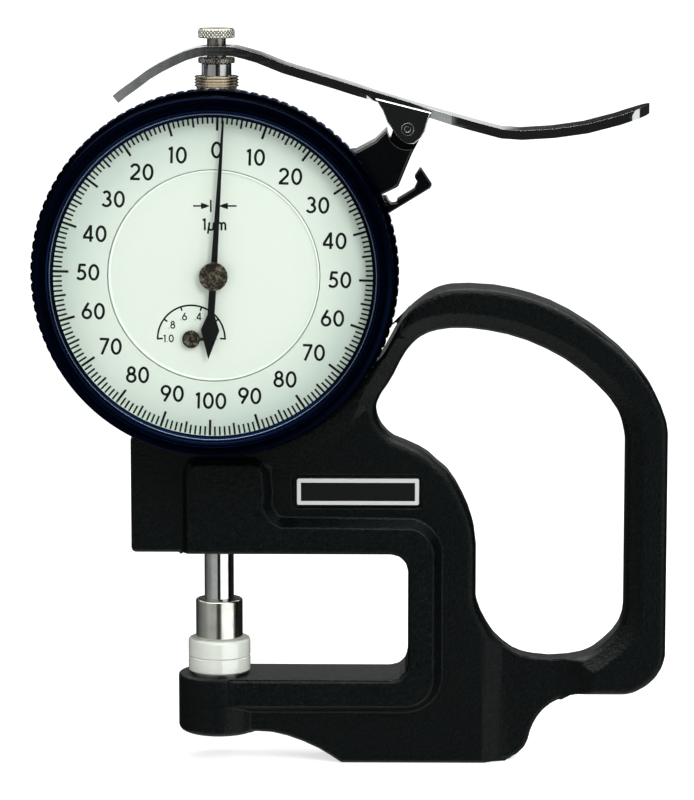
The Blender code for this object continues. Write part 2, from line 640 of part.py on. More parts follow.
def build_contact():
    low, high, e = CONTACT_GAP, CONTACT_GAP + CONTACT_H, CERAMIC_EDGE
    disc = [
        (0, high - NOSE_H - SNUG), (NOSE_R, high - NOSE_H - SNUG), (NOSE_R, high), (CERAMIC_R - e, high),
        (CERAMIC_R - e * 0.3, high - e * 0.3), (CERAMIC_R, high - e), (CERAMIC_R, low + LAPPED_EDGE),
        (CERAMIC_R - LAPPED_EDGE, low), (0, low),
    ]
    finish(turned("contact_ceramic", disc, ROUND), CERAMIC)
    c = TIP_CHAMFER
    holder = [
        (0, TIP_TOP + TIP_PEG_H), (TIP_PEG_R, TIP_TOP + TIP_PEG_H), (TIP_PEG_R, TIP_TOP), (TIP_R - c, TIP_TOP),
        (TIP_R, TIP_TOP - c), (TIP_R, high + c), (TIP_R - c, high), (NOSE_R - SNUG, high),
        (NOSE_R - SNUG, high - NOSE_H), (0, high - NOSE_H),
    ]
    finish(turned("contact_holder", holder, ROUND), NICKEL)
    bore, top = TIP_PEG_R + SNUG, TIP_TOP + TIP_PEG_H + LOOSE
    spindle = [
        (0, SPINDLE_TOP), (SPINDLE_R - TIP_CHAMFER, SPINDLE_TOP), (SPINDLE_R, SPINDLE_TOP - TIP_CHAMFER),
        (SPINDLE_R, TIP_TOP), (bore, TIP_TOP), (bore, top), (0, top),
    ]
    finish(turned("spindle", spindle, ROUND), STEEL)


def build_stem():
    profile = [
        (BORE_R, STEM_TOP), (STEM_HEAD_R, STEM_TOP), (STEM_HEAD_R, STEM_HEAD_LOW), (STEM_R, STEM_HEAD_LOW),
        (STEM_R, STEM_FLOOR + TIP_CHAMFER), (STEM_R - TIP_CHAMFER, STEM_FLOOR), (BORE_R, STEM_FLOOR),
    ]
    finish(turned("stem", profile, ROUND, ring=True), STEEL)
    screw = drum("stem_clamp_screw", SET_SCREW_R, -SET_SCREW_END, -STEM_R - SNUG, SMALL)
    cut(screw, drum("hex", HEX_R, -SET_SCREW_END - OVERRUN, HEX_DEEP - SET_SCREW_END, 6))
    finish(stand(screw, 0, SET_SCREW_Z), STEEL)


def build_upper_bush():
    pitch = (COLLAR_TOP - COLLAR_LOW) / COLLAR_RIDGES
    ridges = []
    for k in range(COLLAR_RIDGES):
        top = COLLAR_TOP - k * pitch
        ridges += [(COLLAR_R, top - pitch * 0.3), (COLLAR_R, top - pitch * 0.7), (COLLAR_ROOT, top - pitch)]
    neck = NECK_TOP + SNUG
    profile = [(BORE_R, COLLAR_TOP), (COLLAR_ROOT, COLLAR_TOP)] + ridges
    profile += [(COLLAR_ROOT - SNUG, neck), (BUSH_R, neck), (BUSH_R, BUSH_LOW), (BORE_R, BUSH_LOW)]
    finish(turned("upper_bush", profile, COARSE, ring=True), BRASS)


def build_lift_knob():
    c = KNOB_CHAMFER
    profile = [
        (0, KNOB_TOP), (KNOB_R - c, KNOB_TOP), (KNOB_R, KNOB_TOP - c), (KNOB_R, KNOB_LOW + c / 2),
        (KNOB_R - c / 2, KNOB_LOW), (KNOB_STEM_R, KNOB_LOW), (KNOB_STEM_R, RING_TOP), (KNOB_R - c / 2, RING_TOP),
        (KNOB_R, RING_TOP - c / 2), (KNOB_R, SPINDLE_TOP + c / 2), (KNOB_R - c / 2, SPINDLE_TOP), (0, SPINDLE_TOP),
    ]
    finish(turned("lift_knob", profile, COARSE), STEEL)


def build_case():
    groove = SNAP_T / 2 + SNUG
    root = CASE_R - SNAP_BITE
    profile = [
        (0, CASE_FRONT), (CASE_R, CASE_FRONT), (CASE_R, SNAP_AT + groove), (root, SNAP_AT + groove),
        (root, SNAP_AT - groove), (CASE_R, SNAP_AT - groove), (CASE_R, CASE_BACK), (CASE_RIM_BORE, CASE_BACK),
        (CASE_RIM_BORE, CASE_BACK + CASE_RIM_DEEP), (CASE_BORE, CASE_BACK + CASE_RIM_DEEP),
        (CASE_BORE, CASE_FRONT - FLOOR_T), (0, CASE_FRONT - FLOOR_T),
    ]
    case = stand(turned("case", profile, PLAIN), 0, DIAL_Z)
    inside = DIAL_Z + CASE_BORE
    join(case, upright("neck", NECK_R, inside - FLOOR_T / 2, NECK_TOP, COARSE))
    cut(case, upright("bush_bore", BUSH_R + SNUG, BUSH_LOW - OVERRUN, NECK_TOP + OVERRUN, COARSE))
    cut(case, upright("stem_hole", STEM_R + SNUG, DIAL_Z - CASE_R - OVERRUN, STEM_HEAD_LOW + OVERRUN, ROUND))
    low, high = CASE_FRONT - FLOOR_T - OVERRUN, CASE_FRONT + OVERRUN
    cut(case, stand(drum("centre_hole", JEWEL_R, low, high, SMALL), 0, DIAL_Z))
    cut(case, stand(drum("counter_hole", JEWEL_R, low, high, SMALL), -COUNTER_X, DIAL_Z - COUNTER_DROP))
    for degrees in COVER_SCREW_DEGREES:
        (x, z), = arc(0, DIAL_Z, COVER_SCREW_REACH, [degrees])
        hole = drum("cover_hole", COVER_SCREW_R + SNUG, CASE_BACK - OVERRUN, CASE_BACK + COVER_SCREW_DEEP, SMALL)
        cut(case, stand(hole, x, z))
    for y in (-BRACKET_SCREW_Y, BRACKET_SCREW_Y):
        hole = drum("bracket_hole", BRACKET_SCREW_R + SNUG, CASE_BORE - OVERRUN, CASE_R + OVERRUN, SMALL)
        cut(case, radial(hole, BRACKET_SCREW_DEG, y))
    finish(case, CASE_METAL)


def radial(obj, degrees, y):
    """Lays a piece drawn along +Z outward from the dial's axis, at this angle above +X."""
    obj.rotation_euler = (0, radians(90 - degrees), 0)
    obj.location = (0, y, DIAL_Z)
    return obj


def build_back_cover():
    back = CASE_BACK - COVER_T
    profile = [
        (0, CASE_BACK), (CASE_R, CASE_BACK), (CASE_R, back + COVER_EDGE), (CASE_R - COVER_EDGE, back), (0, back),
    ]
    cover = stand(turned("back_cover", profile, PLAIN), 0, DIAL_Z)
    for number, degrees in enumerate(COVER_SCREW_DEGREES, 1):
        (x, z), = arc(0, DIAL_Z, COVER_SCREW_REACH, [degrees])
        cut(cover, stand(drum("hole", COVER_SCREW_R + SNUG, back - OVERRUN, CASE_BACK + OVERRUN, SMALL), x, z))
        sink = drum("sink", COVER_HEAD_R + FIT, back - OVERRUN, back + COVER_HEAD_T + SNUG, SMALL)
        cut(cover, stand(sink, x, z))
        seat = back + COVER_HEAD_T + SNUG
        profile = [
            (0, CASE_BACK + COVER_SCREW_DEEP - LOOSE), (COVER_SCREW_R, CASE_BACK + COVER_SCREW_DEEP - LOOSE),
            (COVER_SCREW_R, seat), (COVER_HEAD_R, seat), (COVER_HEAD_R, back + SNUG), (0, back + SNUG),
        ]
        screw = turned(f"cover_screw_{number}", profile, SMALL)
        low = (-COVER_HEAD_R - OVERRUN, -DRIVE_SLOT_T / 2, back - OVERRUN)
        cut(screw, block("slot", low, (COVER_HEAD_R + OVERRUN, DRIVE_SLOT_T / 2, back + SNUG + DRIVE_SLOT_DEEP)))
        finish(stand(screw, x, z), STEEL)
    finish(cover, CASE_METAL)


def bridge_disc(name, low):
    plate = drum(name, BRIDGE_R, low, low + PLATE_T, ROUND)
    return stand(plate, BRIDGE_X, DIAL_Z - BRIDGE_DROP)


def pillar_places():
    return [(BRIDGE_X + BRIDGE_R * x, DIAL_Z - BRIDGE_DROP + BRIDGE_R * z) for x, z in PILLAR_SHARES]


def pivots():
    """The places of the arbors in the front view, by name."""
    return {
        "centre": (0, DIAL_Z),
        "intermediate": (WHEEL_REACH, DIAL_Z),
        "sector": (PIN_ARM, PIVOT_Z),
        "counter": (-COUNTER_X, DIAL_Z - COUNTER_DROP),
    }


def build_bridges():
    front_low = CASE_FRONT - FLOOR_T - PLATE_T
    rear_low = REAR_PLATE_FRONT - PLATE_T
    front = bridge_disc("front_plate", front_low)
    rear = bridge_disc("rear_plate", rear_low)
    for name, (x, z) in pivots().items():
        radius = ARBOR_R + FIT if name == "centre" else JEWEL_R
        cut(front, stand(drum("hole", radius, front_low - OVERRUN, CASE_FRONT, SMALL), x, z))
        if name != "counter":
            cut(rear, stand(drum("hole", JEWEL_R, rear_low - OVERRUN, REAR_PLATE_FRONT + OVERRUN, SMALL), x, z))
    slot_low = PIVOT_Z - DRIVE_PIN_R - SLOT_PLAY
    slot_high = PIVOT_Z + SPINDLE_TRAVEL + DRIVE_PIN_R + SLOT_PLAY
    slot = rounded_rectangle(-SLOT_HALF, SLOT_HALF, slot_low, slot_high, SLOT_HALF / 2)
    cut(rear, stand(flat("slot", slot, rear_low - OVERRUN, REAR_PLATE_FRONT + OVERRUN)))
    for number, (x, z) in enumerate(pillar_places(), 1):
        for plate, low in ((front, front_low), (rear, rear_low)):
            cut(plate, stand(drum("hole", PILLAR_STUD_R + SNUG, low - OVERRUN, low + PLATE_T + OVERRUN, SMALL), x, z))
        profile = [
            (0, front_low + PLATE_T), (PILLAR_STUD_R, front_low + PLATE_T), (PILLAR_STUD_R, front_low),
            (PILLAR_R, front_low), (PILLAR_R, REAR_PLATE_FRONT), (PILLAR_STUD_R, REAR_PLATE_FRONT),
            (PILLAR_STUD_R, rear_low), (0, rear_low),
        ]
        finish(stand(turned(f"pillar_{number}", profile, SMALL), x, z), BRASS)
    finish(front, BRASS)
    finish(rear, BRASS)
    for name, (x, z) in pivots().items():
        if name != "centre":
            build_jewel(f"{name}_front_jewel", x, z, front_low)
        if name != "counter":
            build_jewel(f"{name}_rear_jewel", x, z, rear_low)


def build_jewel(name, x, z, low):
    outer, bore = JEWEL_R - SNUG, HUB_BORE
    profile = [(bore, low + PLATE_T), (outer, low + PLATE_T), (outer, low), (bore, low)]
    finish(stand(turned(name, profile, SMALL, ring=True), x, z), JEWEL)


def toothed(name, module, teeth, low, thickness, first):
    """A wheel with pointed teeth. The first angle, in degrees, has a tooth's tip."""
    radius = module * teeth / 2
    outline = []
    for k in range(teeth):
        outline += arc(0, 0, radius + module * TOOTH_TIP_share, [first + 360 * k / teeth])
        outline += arc(0, 0, radius - module * TOOTH_ROOT_share, [first + 360 * (k + 0.5) / teeth])
    return flat(name, outline, low, low + thickness)


def bearing(here, there):
    """The angle from one pivot to another, in degrees."""
    return atan2(there[1] - here[1], there[0] - here[0]) * 180 / pi


def staff(name, x, z, front):
    """An arbor between the plates, with a thin pivot at each end."""
    rear = REAR_PLATE_FRONT - PLATE_T + FIT
    low = REAR_PLATE_FRONT + FIT
    high = CASE_FRONT - FLOOR_T - PLATE_T - FIT
    profile = [(0, front), (SPIGOT_R, front), (SPIGOT_R, high), (STAFF_R, high), (STAFF_R, low), (SPIGOT_R, low)]
    return stand(turned(name, profile + [(SPIGOT_R, rear), (0, rear)], SMALL), x, z)


def pierce(obj, radius, low, thickness, x, z):
    cut(obj, stand(drum("bore", radius, low - OVERRUN, low + thickness + OVERRUN, SMALL), x, z))


def build_gears():
    place = pivots()
    centre, middle, pivot, counter = (place[name] for name in ("centre", "intermediate", "sector", "counter"))
    front = CASE_FRONT - FLOOR_T - FIT

    arbor = staff("intermediate_arbor", *middle, front)
    leaves = toothed("leaves", SECTOR_MODULE, PINION_TEETH, PINION_AT, PINION_T, bearing(middle, pivot))
    join(arbor, stand(leaves, *middle))
    finish(arbor, STEEL)

    first = bearing(middle, centre) + 180 / WHEEL_TEETH
    wheel = stand(toothed("intermediate_wheel", CENTRE_MODULE, WHEEL_TEETH, WHEEL_AT, WHEEL_T, first), *middle)
    pierce(wheel, STAFF_R + SNUG, WHEEL_AT, WHEEL_T, *middle)
    finish(wheel, BRASS)

    build_sector(pivot, bearing(pivot, middle))
    finish(staff("sector_arbor", *pivot, front), STEEL)

    low, rear = REAR_PLATE_FRONT + FIT, REAR_PLATE_FRONT - PLATE_T + FIT
    profile = [
        (0, ARBOR_END), (ARBOR_R, ARBOR_END), (ARBOR_R, low), (SPIGOT_R, low), (SPIGOT_R, rear), (0, rear),
    ]
    centre_arbor = stand(turned("centre_arbor", profile, SMALL), *centre)
    leaves = toothed("leaves", CENTRE_MODULE, CENTRE_TEETH, CENTRE_LEAVES_AT, CENTRE_LEAVES_T, bearing(centre, middle))
    join(centre_arbor, stand(leaves, *centre))
    first = bearing(centre, counter)
    leaves = toothed("leaves", COUNTER_MODULE, COUNTER_TEETH, COUNTER_LEAVES_AT, COUNTER_LEAVES_T, first)
    join(centre_arbor, stand(leaves, *centre))
    finish(centre_arbor, STEEL)

    first = bearing(counter, centre) + 180 / COUNTER_WHEEL_TEETH
    teeth = toothed("counter_wheel", COUNTER_MODULE, COUNTER_WHEEL_TEETH, COUNTER_WHEEL_AT, COUNTER_WHEEL_T, first)
    wheel = stand(teeth, *counter)
    pierce(wheel, ARBOR_R + SNUG, COUNTER_WHEEL_AT, COUNTER_WHEEL_T, *counter)
    finish(wheel, BRASS)
    low = CASE_FRONT - FLOOR_T + FIT
    rear = CASE_FRONT - FLOOR_T - PLATE_T + FIT
    top = COUNTER_HAND_AT - FIT
    profile = [(0, top), (ARBOR_R, top), (ARBOR_R, low), (SPIGOT_R, low), (SPIGOT_R, rear), (0, rear)]
    finish(stand(turned("counter_arbor", profile, SMALL), *counter), STEEL)


def build_sector(pivot, towards):
    """The sector lever: a slotted arm that follows the drive pin, and a fan of teeth."""
    pitch = 360 / SECTOR_TEETH
    radius = SECTOR_MODULE * SECTOR_TEETH / 2
    tip, root = radius + SECTOR_MODULE * TOOTH_TIP_share, radius - SECTOR_MODULE * TOOTH_ROOT_share
    slot, half = DRIVE_PIN_R + FIT, DRIVE_PIN_R * 2.2
    reach, slot_root = PIN_ARM + DRIVE_PIN_R * 2.8, PIN_ARM - DRIVE_PIN_R * 1.8
    fan = arc(0, 0, root, [towards - 2 * pitch])
    for k in range(SECTOR_TIPS):
        fan += arc(0, 0, tip, [towards + (k - 1.5) * pitch])
        fan += arc(0, 0, root, [towards + (k - 1) * pitch])
    outline = [(-reach, -half), (0, -half * 1.2), (half * 1.1, -half * 0.6), (half * 1.2, 0)] + fan
    outline += [(-half * 1.1, half), (-reach, half), (-reach, slot), (-slot_root, slot), (-slot_root, -slot)]
    outline += [(-reach, -slot)]
    sector = stand(flat("sector_lever", outline, SECTOR_AT, SECTOR_AT + SECTOR_T), *pivot)
    pierce(sector, STAFF_R + SNUG, SECTOR_AT, SECTOR_T, *pivot)
    finish(sector, BRASS)


def build_hairspring():
    """A flat spiral round the centre arbor, held at its outer end by a post on the rear plate."""
    steps = int(HAIR_TURNS * 12)
    growth = (HAIR_OUT - HAIR_IN) / HAIR_TURNS / 360
    angles = [360 * HAIR_TURNS * k / steps for k in range(steps + 1)]
    outer = [arc(0, 0, HAIR_IN + growth * a + HAIR_T / 2, [a])[0] for a in angles]
    inner = [arc(0, 0, HAIR_IN + growth * a - HAIR_T / 2, [a])[0] for a in angles]
    print("least gap between turns of the hairspring, mm:", round((growth * 360 - HAIR_T) * 1000, 3))
    spring = stand(flat("hairspring", outer + inner[::-1], HAIR_AT, HAIR_AT + HAIR_W), 0, DIAL_Z)
    (x, z), = arc(0, DIAL_Z, HAIR_OUT, [angles[-1]])
    join(spring, stand(drum("post", HAIR_POST_R, REAR_PLATE_FRONT, HAIR_AT + HAIR_W * 1.5, SMALL), x, z))
    finish(spring, BLUED)


def build_drive():
    low, high = PIVOT_Z - DRIVE_H / 2, PIVOT_Z + DRIVE_H / 2
    collar = drum("drive_collar", DRIVE_R, low, high, COARSE)
    join(collar, stand(drum("pin", DRIVE_PIN_R, SPINDLE_R, DRIVE_PIN_END, SMALL), 0, PIVOT_Z))
    arm_low = (SPRING_X - DRIVE_ARM_HALF, SPRING_Y - DRIVE_ARM_HALF, PIVOT_Z - DRIVE_ARM_H / 2)
    arm_high = (-SPINDLE_R, SPRING_Y + DRIVE_ARM_HALF, PIVOT_Z + DRIVE_ARM_H / 2)
    join(collar, block("arm", arm_low, arm_high))
    cut(collar, upright("bore", SPINDLE_R + SNUG, low - OVERRUN, high + OVERRUN, ROUND))
    finish(collar, STEEL)


def build_return_spring():
    """A tension coil between the spindle's arm and a post, with a straight leg at each end."""
    top = COIL_LOW + COIL_PITCH * COIL_TURNS
    points = [(0, 0, POST_Z + POST_R + SPRING_CLEAR), (0, 0, COIL_LOW - COIL_PITCH / 4)]
    count = COIL_TURNS * COIL_POINTS
    for k in range(count + 1):
        angle = 2 * pi * k / COIL_POINTS
        points.append((COIL_R * cos(angle), COIL_R * sin(angle), COIL_LOW + COIL_PITCH * k / COIL_POINTS))
    points += [(0, 0, top + COIL_PITCH / 4), (0, 0, PIVOT_Z - DRIVE_ARM_H / 2 - SPRING_CLEAR)]
    print("least gap between turns of the return spring, mm:", round((COIL_PITCH - 2 * WIRE_R) * 1000, 3))
    curve = bpy.data.curves.new("return_spring", "CURVE")
    curve.dimensions = "3D"
    curve.bevel_depth = WIRE_R
    curve.bevel_resolution = 1
    curve.use_fill_caps = True
    spline = curve.splines.new("POLY")
    spline.points.add(len(points) - 1)
    for point, place in zip(spline.points, points):
        point.co = (*place, 1)
    spring = add_object("return_spring", curve)
    bpy.context.view_layer.update()
    graph = bpy.context.evaluated_depsgraph_get()
    mesh = bpy.data.meshes.new_from_object(spring.evaluated_get(graph))
    bpy.data.objects.remove(spring)
    spring = add_object("return_spring", mesh)
    tidy(spring)
    spring.location = (SPRING_X, SPRING_Y, 0)
    finish(spring, STEEL)
    post_end = -SPRING_Y - POST_R * 2
    post = drum("spring_post", POST_R, post_end, CASE_FRONT - FLOOR_T, SMALL)
    finish(stand(post, SPRING_X, POST_Z), STEEL)


def build_dial():
    dial = drum("dial_plate", DIAL_R, DIAL_BACK, DIAL_BACK + DIAL_T, FINE)
    for x, y in arc(0, 0, DIAL_FOOT_REACH, DIAL_FEET):
        foot = drum("foot", DIAL_FOOT_R, CASE_FRONT, DIAL_BACK + DIAL_T / 2, SMALL)
        foot.location = (x, y, 0)
        join(dial, foot)
    cut(dial, drum("hole", DIAL_HOLE, DIAL_BACK - OVERRUN, DIAL_BACK + OVERRUN, SMALL))
    hole = drum("hole", DIAL_HOLE, DIAL_BACK - OVERRUN, DIAL_BACK + OVERRUN, SMALL)
    hole.location = (-COUNTER_X, -COUNTER_DROP, 0)
    cut(dial, hole)
    finish(stand(dial, 0, DIAL_Z), DIAL)


def build_scale():
    top = GLASS_BACK - SNUG
    profile = [
        (SCALE_OUT - SCALE_RIM_T, top), (SCALE_OUT, top), (SCALE_OUT, SCALE_BACK), (SCALE_IN, SCALE_BACK),
        (SCALE_IN, SCALE_BACK + SCALE_T), (SCALE_OUT - SCALE_RIM_T, SCALE_BACK + SCALE_T),
    ]
    finish(stand(turned("scale_ring", profile, FINE, ring=True), 0, DIAL_Z), DIAL)
    high, outer = SCALE_BACK - SNUG, GLASS_SEAT - SNUG
    profile = [
        (outer - RETAINER_W, high), (outer, high), (outer, high - RETAINER_T), (outer - RETAINER_W, high - RETAINER_T),
    ]
    finish(stand(turned("scale_retaining_ring", profile, PLAIN, ring=True), 0, DIAL_Z), BRASS)


def build_bezel():
    groove = SNAP_T / 2 + SNUG
    deep = BEZEL_BORE + SNAP_BITE
    seat_back = DIAL_BACK - RETAINER_T
    outline = []
    for k in range(KNURL_TEETH):
        outline += arc(0, 0, BEZEL_R, [360 * k / KNURL_TEETH, 360 * (k + TOOTH_LAND) / KNURL_TEETH])
        outline += arc(0, 0, KNURL_ROOT, [360 * (k + (1 + TOOTH_LAND) / 2) / KNURL_TEETH])
    bezel = stand(flat("bezel", outline, BEZEL_REAR, KNURL_FRONT), 0, DIAL_Z)
    buried = (BEZEL_REAR + KNURL_FRONT) / 2
    profile = [
        (0, BEZEL_FACE_AT), (BEZEL_FACE, BEZEL_FACE_AT), (BEZEL_SHOULDER, BEZEL_SHOULDER_AT),
        (BEZEL_WAIST, BEZEL_WAIST_AT), (KNURL_ROOT - FIT, KNURL_FRONT), (KNURL_ROOT - LOOSE, buried), (0, buried),
    ]
    join(bezel, stand(turned("front", profile, FINE), 0, DIAL_Z))
    profile = [
        (0, BEZEL_FACE_AT + OVERRUN), (BEZEL_FACE, BEZEL_FACE_AT + OVERRUN), (BEZEL_FACE - FIT, BEZEL_FACE_AT),
        (LIP_R, LIP_FRONT), (LIP_R, LIP_BACK), (GLASS_SEAT, LIP_BACK), (GLASS_SEAT, buried), (0, buried),
    ]
    cut(bezel, stand(turned("seat", profile, FINE), 0, DIAL_Z))
    profile = [
        (0, seat_back), (BEZEL_BORE, seat_back), (BEZEL_BORE, SNAP_AT + groove), (deep, SNAP_AT + groove),
        (deep, SNAP_AT - groove), (BEZEL_BORE, SNAP_AT - groove), (BEZEL_BORE, BEZEL_REAR - OVERRUN),
        (0, BEZEL_REAR - OVERRUN),
    ]
    cut(bezel, stand(turned("bore", profile, PLAIN), 0, DIAL_Z))
    finish(bezel, BEZEL)
    finish(stand(drum("crystal", GLASS_R, GLASS_BACK, GLASS_FRONT, FINE), 0, DIAL_Z), GLASS)
    middle, low, high = (CASE_R + BEZEL_BORE) / 2, SNAP_AT - SNAP_T / 2, SNAP_AT + SNAP_T / 2
    inner, outer = middle - SNAP_W / 2, middle + SNAP_W / 2
    profile = [(inner, high), (outer, high), (outer, low), (inner, low)]
    finish(stand(turned("bezel_snap_ring", profile, PLAIN, ring=True), 0, DIAL_Z), STEEL)


def build_hands():
    outline = [
        (HAND_ROOT_HALF, 0), (HAND_TIP_HALF, HAND_TIP - HAND_TIP_HALF), (0, HAND_TIP),
        (-HAND_TIP_HALF, HAND_TIP - HAND_TIP_HALF), (-HAND_ROOT_HALF, 0), (-TAIL_HALF, -HUB_R),
        (-TAIL_HALF, -SPADE_START), (-SPADE_HALF, -SPADE_WIDE), (0, -SPADE_END), (SPADE_HALF, -SPADE_WIDE),
        (TAIL_HALF, -SPADE_START), (TAIL_HALF, -HUB_R),
    ]
    turn = Matrix.Rotation(radians(-HAND_ANGLE), 4, "Z")
    hand = flat("main_pointer", outline, HAND_AT, HAND_AT + HAND_T)
    hand.data.transform(turn)
    join(hand, drum("eye", HUB_R - LOOSE, HAND_AT, HAND_AT + HAND_T, COARSE))
    cut(hand, drum("hole", HUB_R / 2 + SNUG, HAND_AT - OVERRUN, HAND_AT + OVERRUN, COARSE))
    finish(stand(hand, 0, DIAL_Z), HAND)
    step = HAND_AT - SNUG
    profile = [
        (0, HUB_FRONT), (HUB_R - SNUG, HUB_FRONT), (HUB_R, HUB_FRONT - SNUG), (HUB_R, HAND_AT + HAND_T),
        (HUB_R / 2, HAND_AT + HAND_T), (HUB_R / 2, step), (ARBOR_R * 2, step), (ARBOR_R * 2, HUB_BACK),
        (ARBOR_R + SNUG, HUB_BACK), (ARBOR_R + SNUG, ARBOR_END + SNUG), (0, ARBOR_END + SNUG),
    ]
    finish(stand(turned("pointer_hub", profile, COARSE), 0, DIAL_Z), BRASS)
    small = drum("counter_pointer", SMALL_HUB_R, COUNTER_HAND_AT, COUNTER_HAND_AT + COUNTER_HAND_T, COARSE)
    outline = [(0, -SMALL_HAND_HALF), (SMALL_HAND_REACH, 0), (0, SMALL_HAND_HALF)]
    join(small, flat("small_hand", outline, COUNTER_HAND_AT, COUNTER_HAND_AT + COUNTER_HAND_T))
    finish(stand(small, -COUNTER_X, DIAL_Z - COUNTER_DROP), HAND)


def build_lever():
    top = spread(LEVER_SHARES)
    under = [
        (x - LEVER_T * (b[1] - a[1]) / -hypot(b[0] - a[0], b[1] - a[1]), z - LEVER_T * (b[0] - a[0]) / hypot(b[0] - a[0], b[1] - a[1]))
        for a, (x, z), b in zip(top[:1] + top[:-1], top, top[1:] + top[-1:])
    ]
    lever = stand(flat("lifting_lever", top + under[::-1], -LEVER_HALF, LEVER_HALF))
    side = spread(LEVER_PLAN_SHARES)
    plan = [(-LEVER_LEFT, LEVER_HALF)] + side + [(LEVER_RIGHT, 0)]
    plan += [(x, -y) for x, y in side[::-1]] + [(-LEVER_LEFT, -LEVER_HALF)]
    floor, roof = SPINDLE_TOP - SPAN / 5, SPINDLE_TOP + SPAN / 10
    keep_inside(lever, flat("plan", plan, floor, roof))
    slot = arc(SLOT_REACH - SLOT_R, 0, SLOT_R, range(-90, 91, 20)) + arc(SLOT_R - SLOT_REACH, 0, SLOT_R, range(90, 271, 20))
    cut(lever, flat("slot", slot, floor, roof))
    for low in (-EAR_OUT, EAR_OUT - EAR_T):
        ear = flat("ear", spread(EAR_SHARES), low, low + EAR_T)
        soften(ear, EAR_ROUND, 1)
        join(lever, stand(ear))
    hole = drum("hole", LEVER_PIN_R + SNUG, -EAR_OUT - OVERRUN, EAR_OUT + OVERRUN, COARSE)
    cut(lever, stand(hole, LEVER_PIVOT_X, LEVER_PIVOT_Z))
    hang(lever, LEVER_PIVOT_X, LEVER_PIVOT_Z)
    finish(lever, CHROME)
    pin = drum("lever_pin", LEVER_PIN_R, -LEVER_PIN_HALF, LEVER_PIN_HALF, COARSE)
    for way in (-1, 1):
        low, high = sorted((way * (LEVER_PIN_HALF - PIN_BORE_DEEP), way * (LEVER_PIN_HALF + OVERRUN)))
        cut(pin, drum("bore", PIN_BORE_R, low, high, SMALL))
    finish(stand(pin, LEVER_PIVOT_X, LEVER_PIVOT_Z), STEEL)


def hang(obj, x, z):
    """Moves a standing piece's origin onto its joint's axis, and leaves its shape where it is."""
    obj.data.transform(Matrix.Translation((-x, -z, 0)))
    obj.location = (x, 0, z)


def build_bracket():
    seat = arc(0, DIAL_Z, BRACKET_SEAT, range(24, 45, 4))
    body = flat("lever_bracket", spread(BRACKET_SHARES, LEVER_PIVOT_X, LEVER_PIVOT_Z) + seat, -BRACKET_HALF, BRACKET_HALF)
    soften(body, BRACKET_ROUND, 1)
    bracket = stand(body)
    relief = drum("relief", RELIEF_R, -BRACKET_HALF - OVERRUN, BRACKET_HALF + OVERRUN, ROUND)
    cut(bracket, stand(relief, LEVER_PIVOT_X, LEVER_PIVOT_Z))
    lug = flat("lug", spread(LUG_SHARES, LEVER_PIVOT_X, LEVER_PIVOT_Z), -LUG_HALF, LUG_HALF)
    join(bracket, stand(lug), stand(drum("eye", LUG_R, -LUG_HALF, LUG_HALF, COARSE), LEVER_PIVOT_X, LEVER_PIVOT_Z))
    angles = range(FOOT_LOW_DEG, FOOT_HIGH_DEG, 4)
    foot = arc(0, DIAL_Z, BRACKET_SEAT, angles) + arc(0, DIAL_Z, FOOT_OUT, angles[::-1])
    join(bracket, stand(flat("foot", foot, FOOT_BACK, FOOT_FRONT)))
    join(bracket, stand(drum("clamp_lug", CLAMP_LUG_R, FOOT_BACK, FOOT_FRONT, COARSE), CLAMP_X, CLAMP_Z))
    hole = drum("hole", LEVER_PIN_R + SNUG, -LUG_HALF - OVERRUN, LUG_HALF + OVERRUN, COARSE)
    cut(bracket, stand(hole, LEVER_PIVOT_X, LEVER_PIVOT_Z))
    hole = drum("hole", CLAMP_RIVET_R + SNUG, FOOT_BACK - OVERRUN, FOOT_FRONT + OVERRUN, SMALL)
    cut(bracket, stand(hole, CLAMP_X, CLAMP_Z))
    for number, y in enumerate((-BRACKET_SCREW_Y, BRACKET_SCREW_Y), 1):
        end = CASE_R + BRACKET_SCREW_DEEP
        cut(bracket, radial(drum("hole", BRACKET_SCREW_R + SNUG, CASE_BORE, end, SMALL), BRACKET_SCREW_DEG, y))
        seat_at = CASE_BORE - BRACKET_SCREW_H * 0.25
        profile = [
            (0, end - SNUG), (BRACKET_SCREW_R, end - SNUG), (BRACKET_SCREW_R, seat_at), (BRACKET_SCREW_HEAD, seat_at),
            (BRACKET_SCREW_HEAD, seat_at - BRACKET_SCREW_H), (0, seat_at - BRACKET_SCREW_H),
        ]
        finish(radial(turned(f"bracket_screw_{number}", profile, SMALL), BRACKET_SCREW_DEG, y), STEEL)
    finish(bracket, GLOSS)


def build_clamp():
    clamp = flat("bezel_clamp", spread(CLAMP_SHARES, CLAMP_X, CLAMP_Z), CLAMP_BACK, CLAMP_FRONT)
    soften(clamp, CLAMP_ROUND, 1)
    clamp = stand(clamp)
    hole = drum("hole", CLAMP_RIVET_R + SNUG, CLAMP_BACK - OVERRUN, CLAMP_FRONT + OVERRUN, SMALL)
    cut(clamp, stand(hole, CLAMP_X, CLAMP_Z))
    hang(clamp, CLAMP_X, CLAMP_Z)
    finish(clamp, GLOSS)
    head = CLAMP_FRONT + SNUG
    profile = [
        (0, head + CLAMP_HEAD_T), (CLAMP_HEAD_R, head + CLAMP_HEAD_T), (CLAMP_HEAD_R, head), (CLAMP_RIVET_R, head),
        (CLAMP_RIVET_R, FOOT_BACK), (0, FOOT_BACK),
    ]
    finish(stand(turned("clamp_rivet", profile, SMALL), CLAMP_X, CLAMP_Z), STEEL)


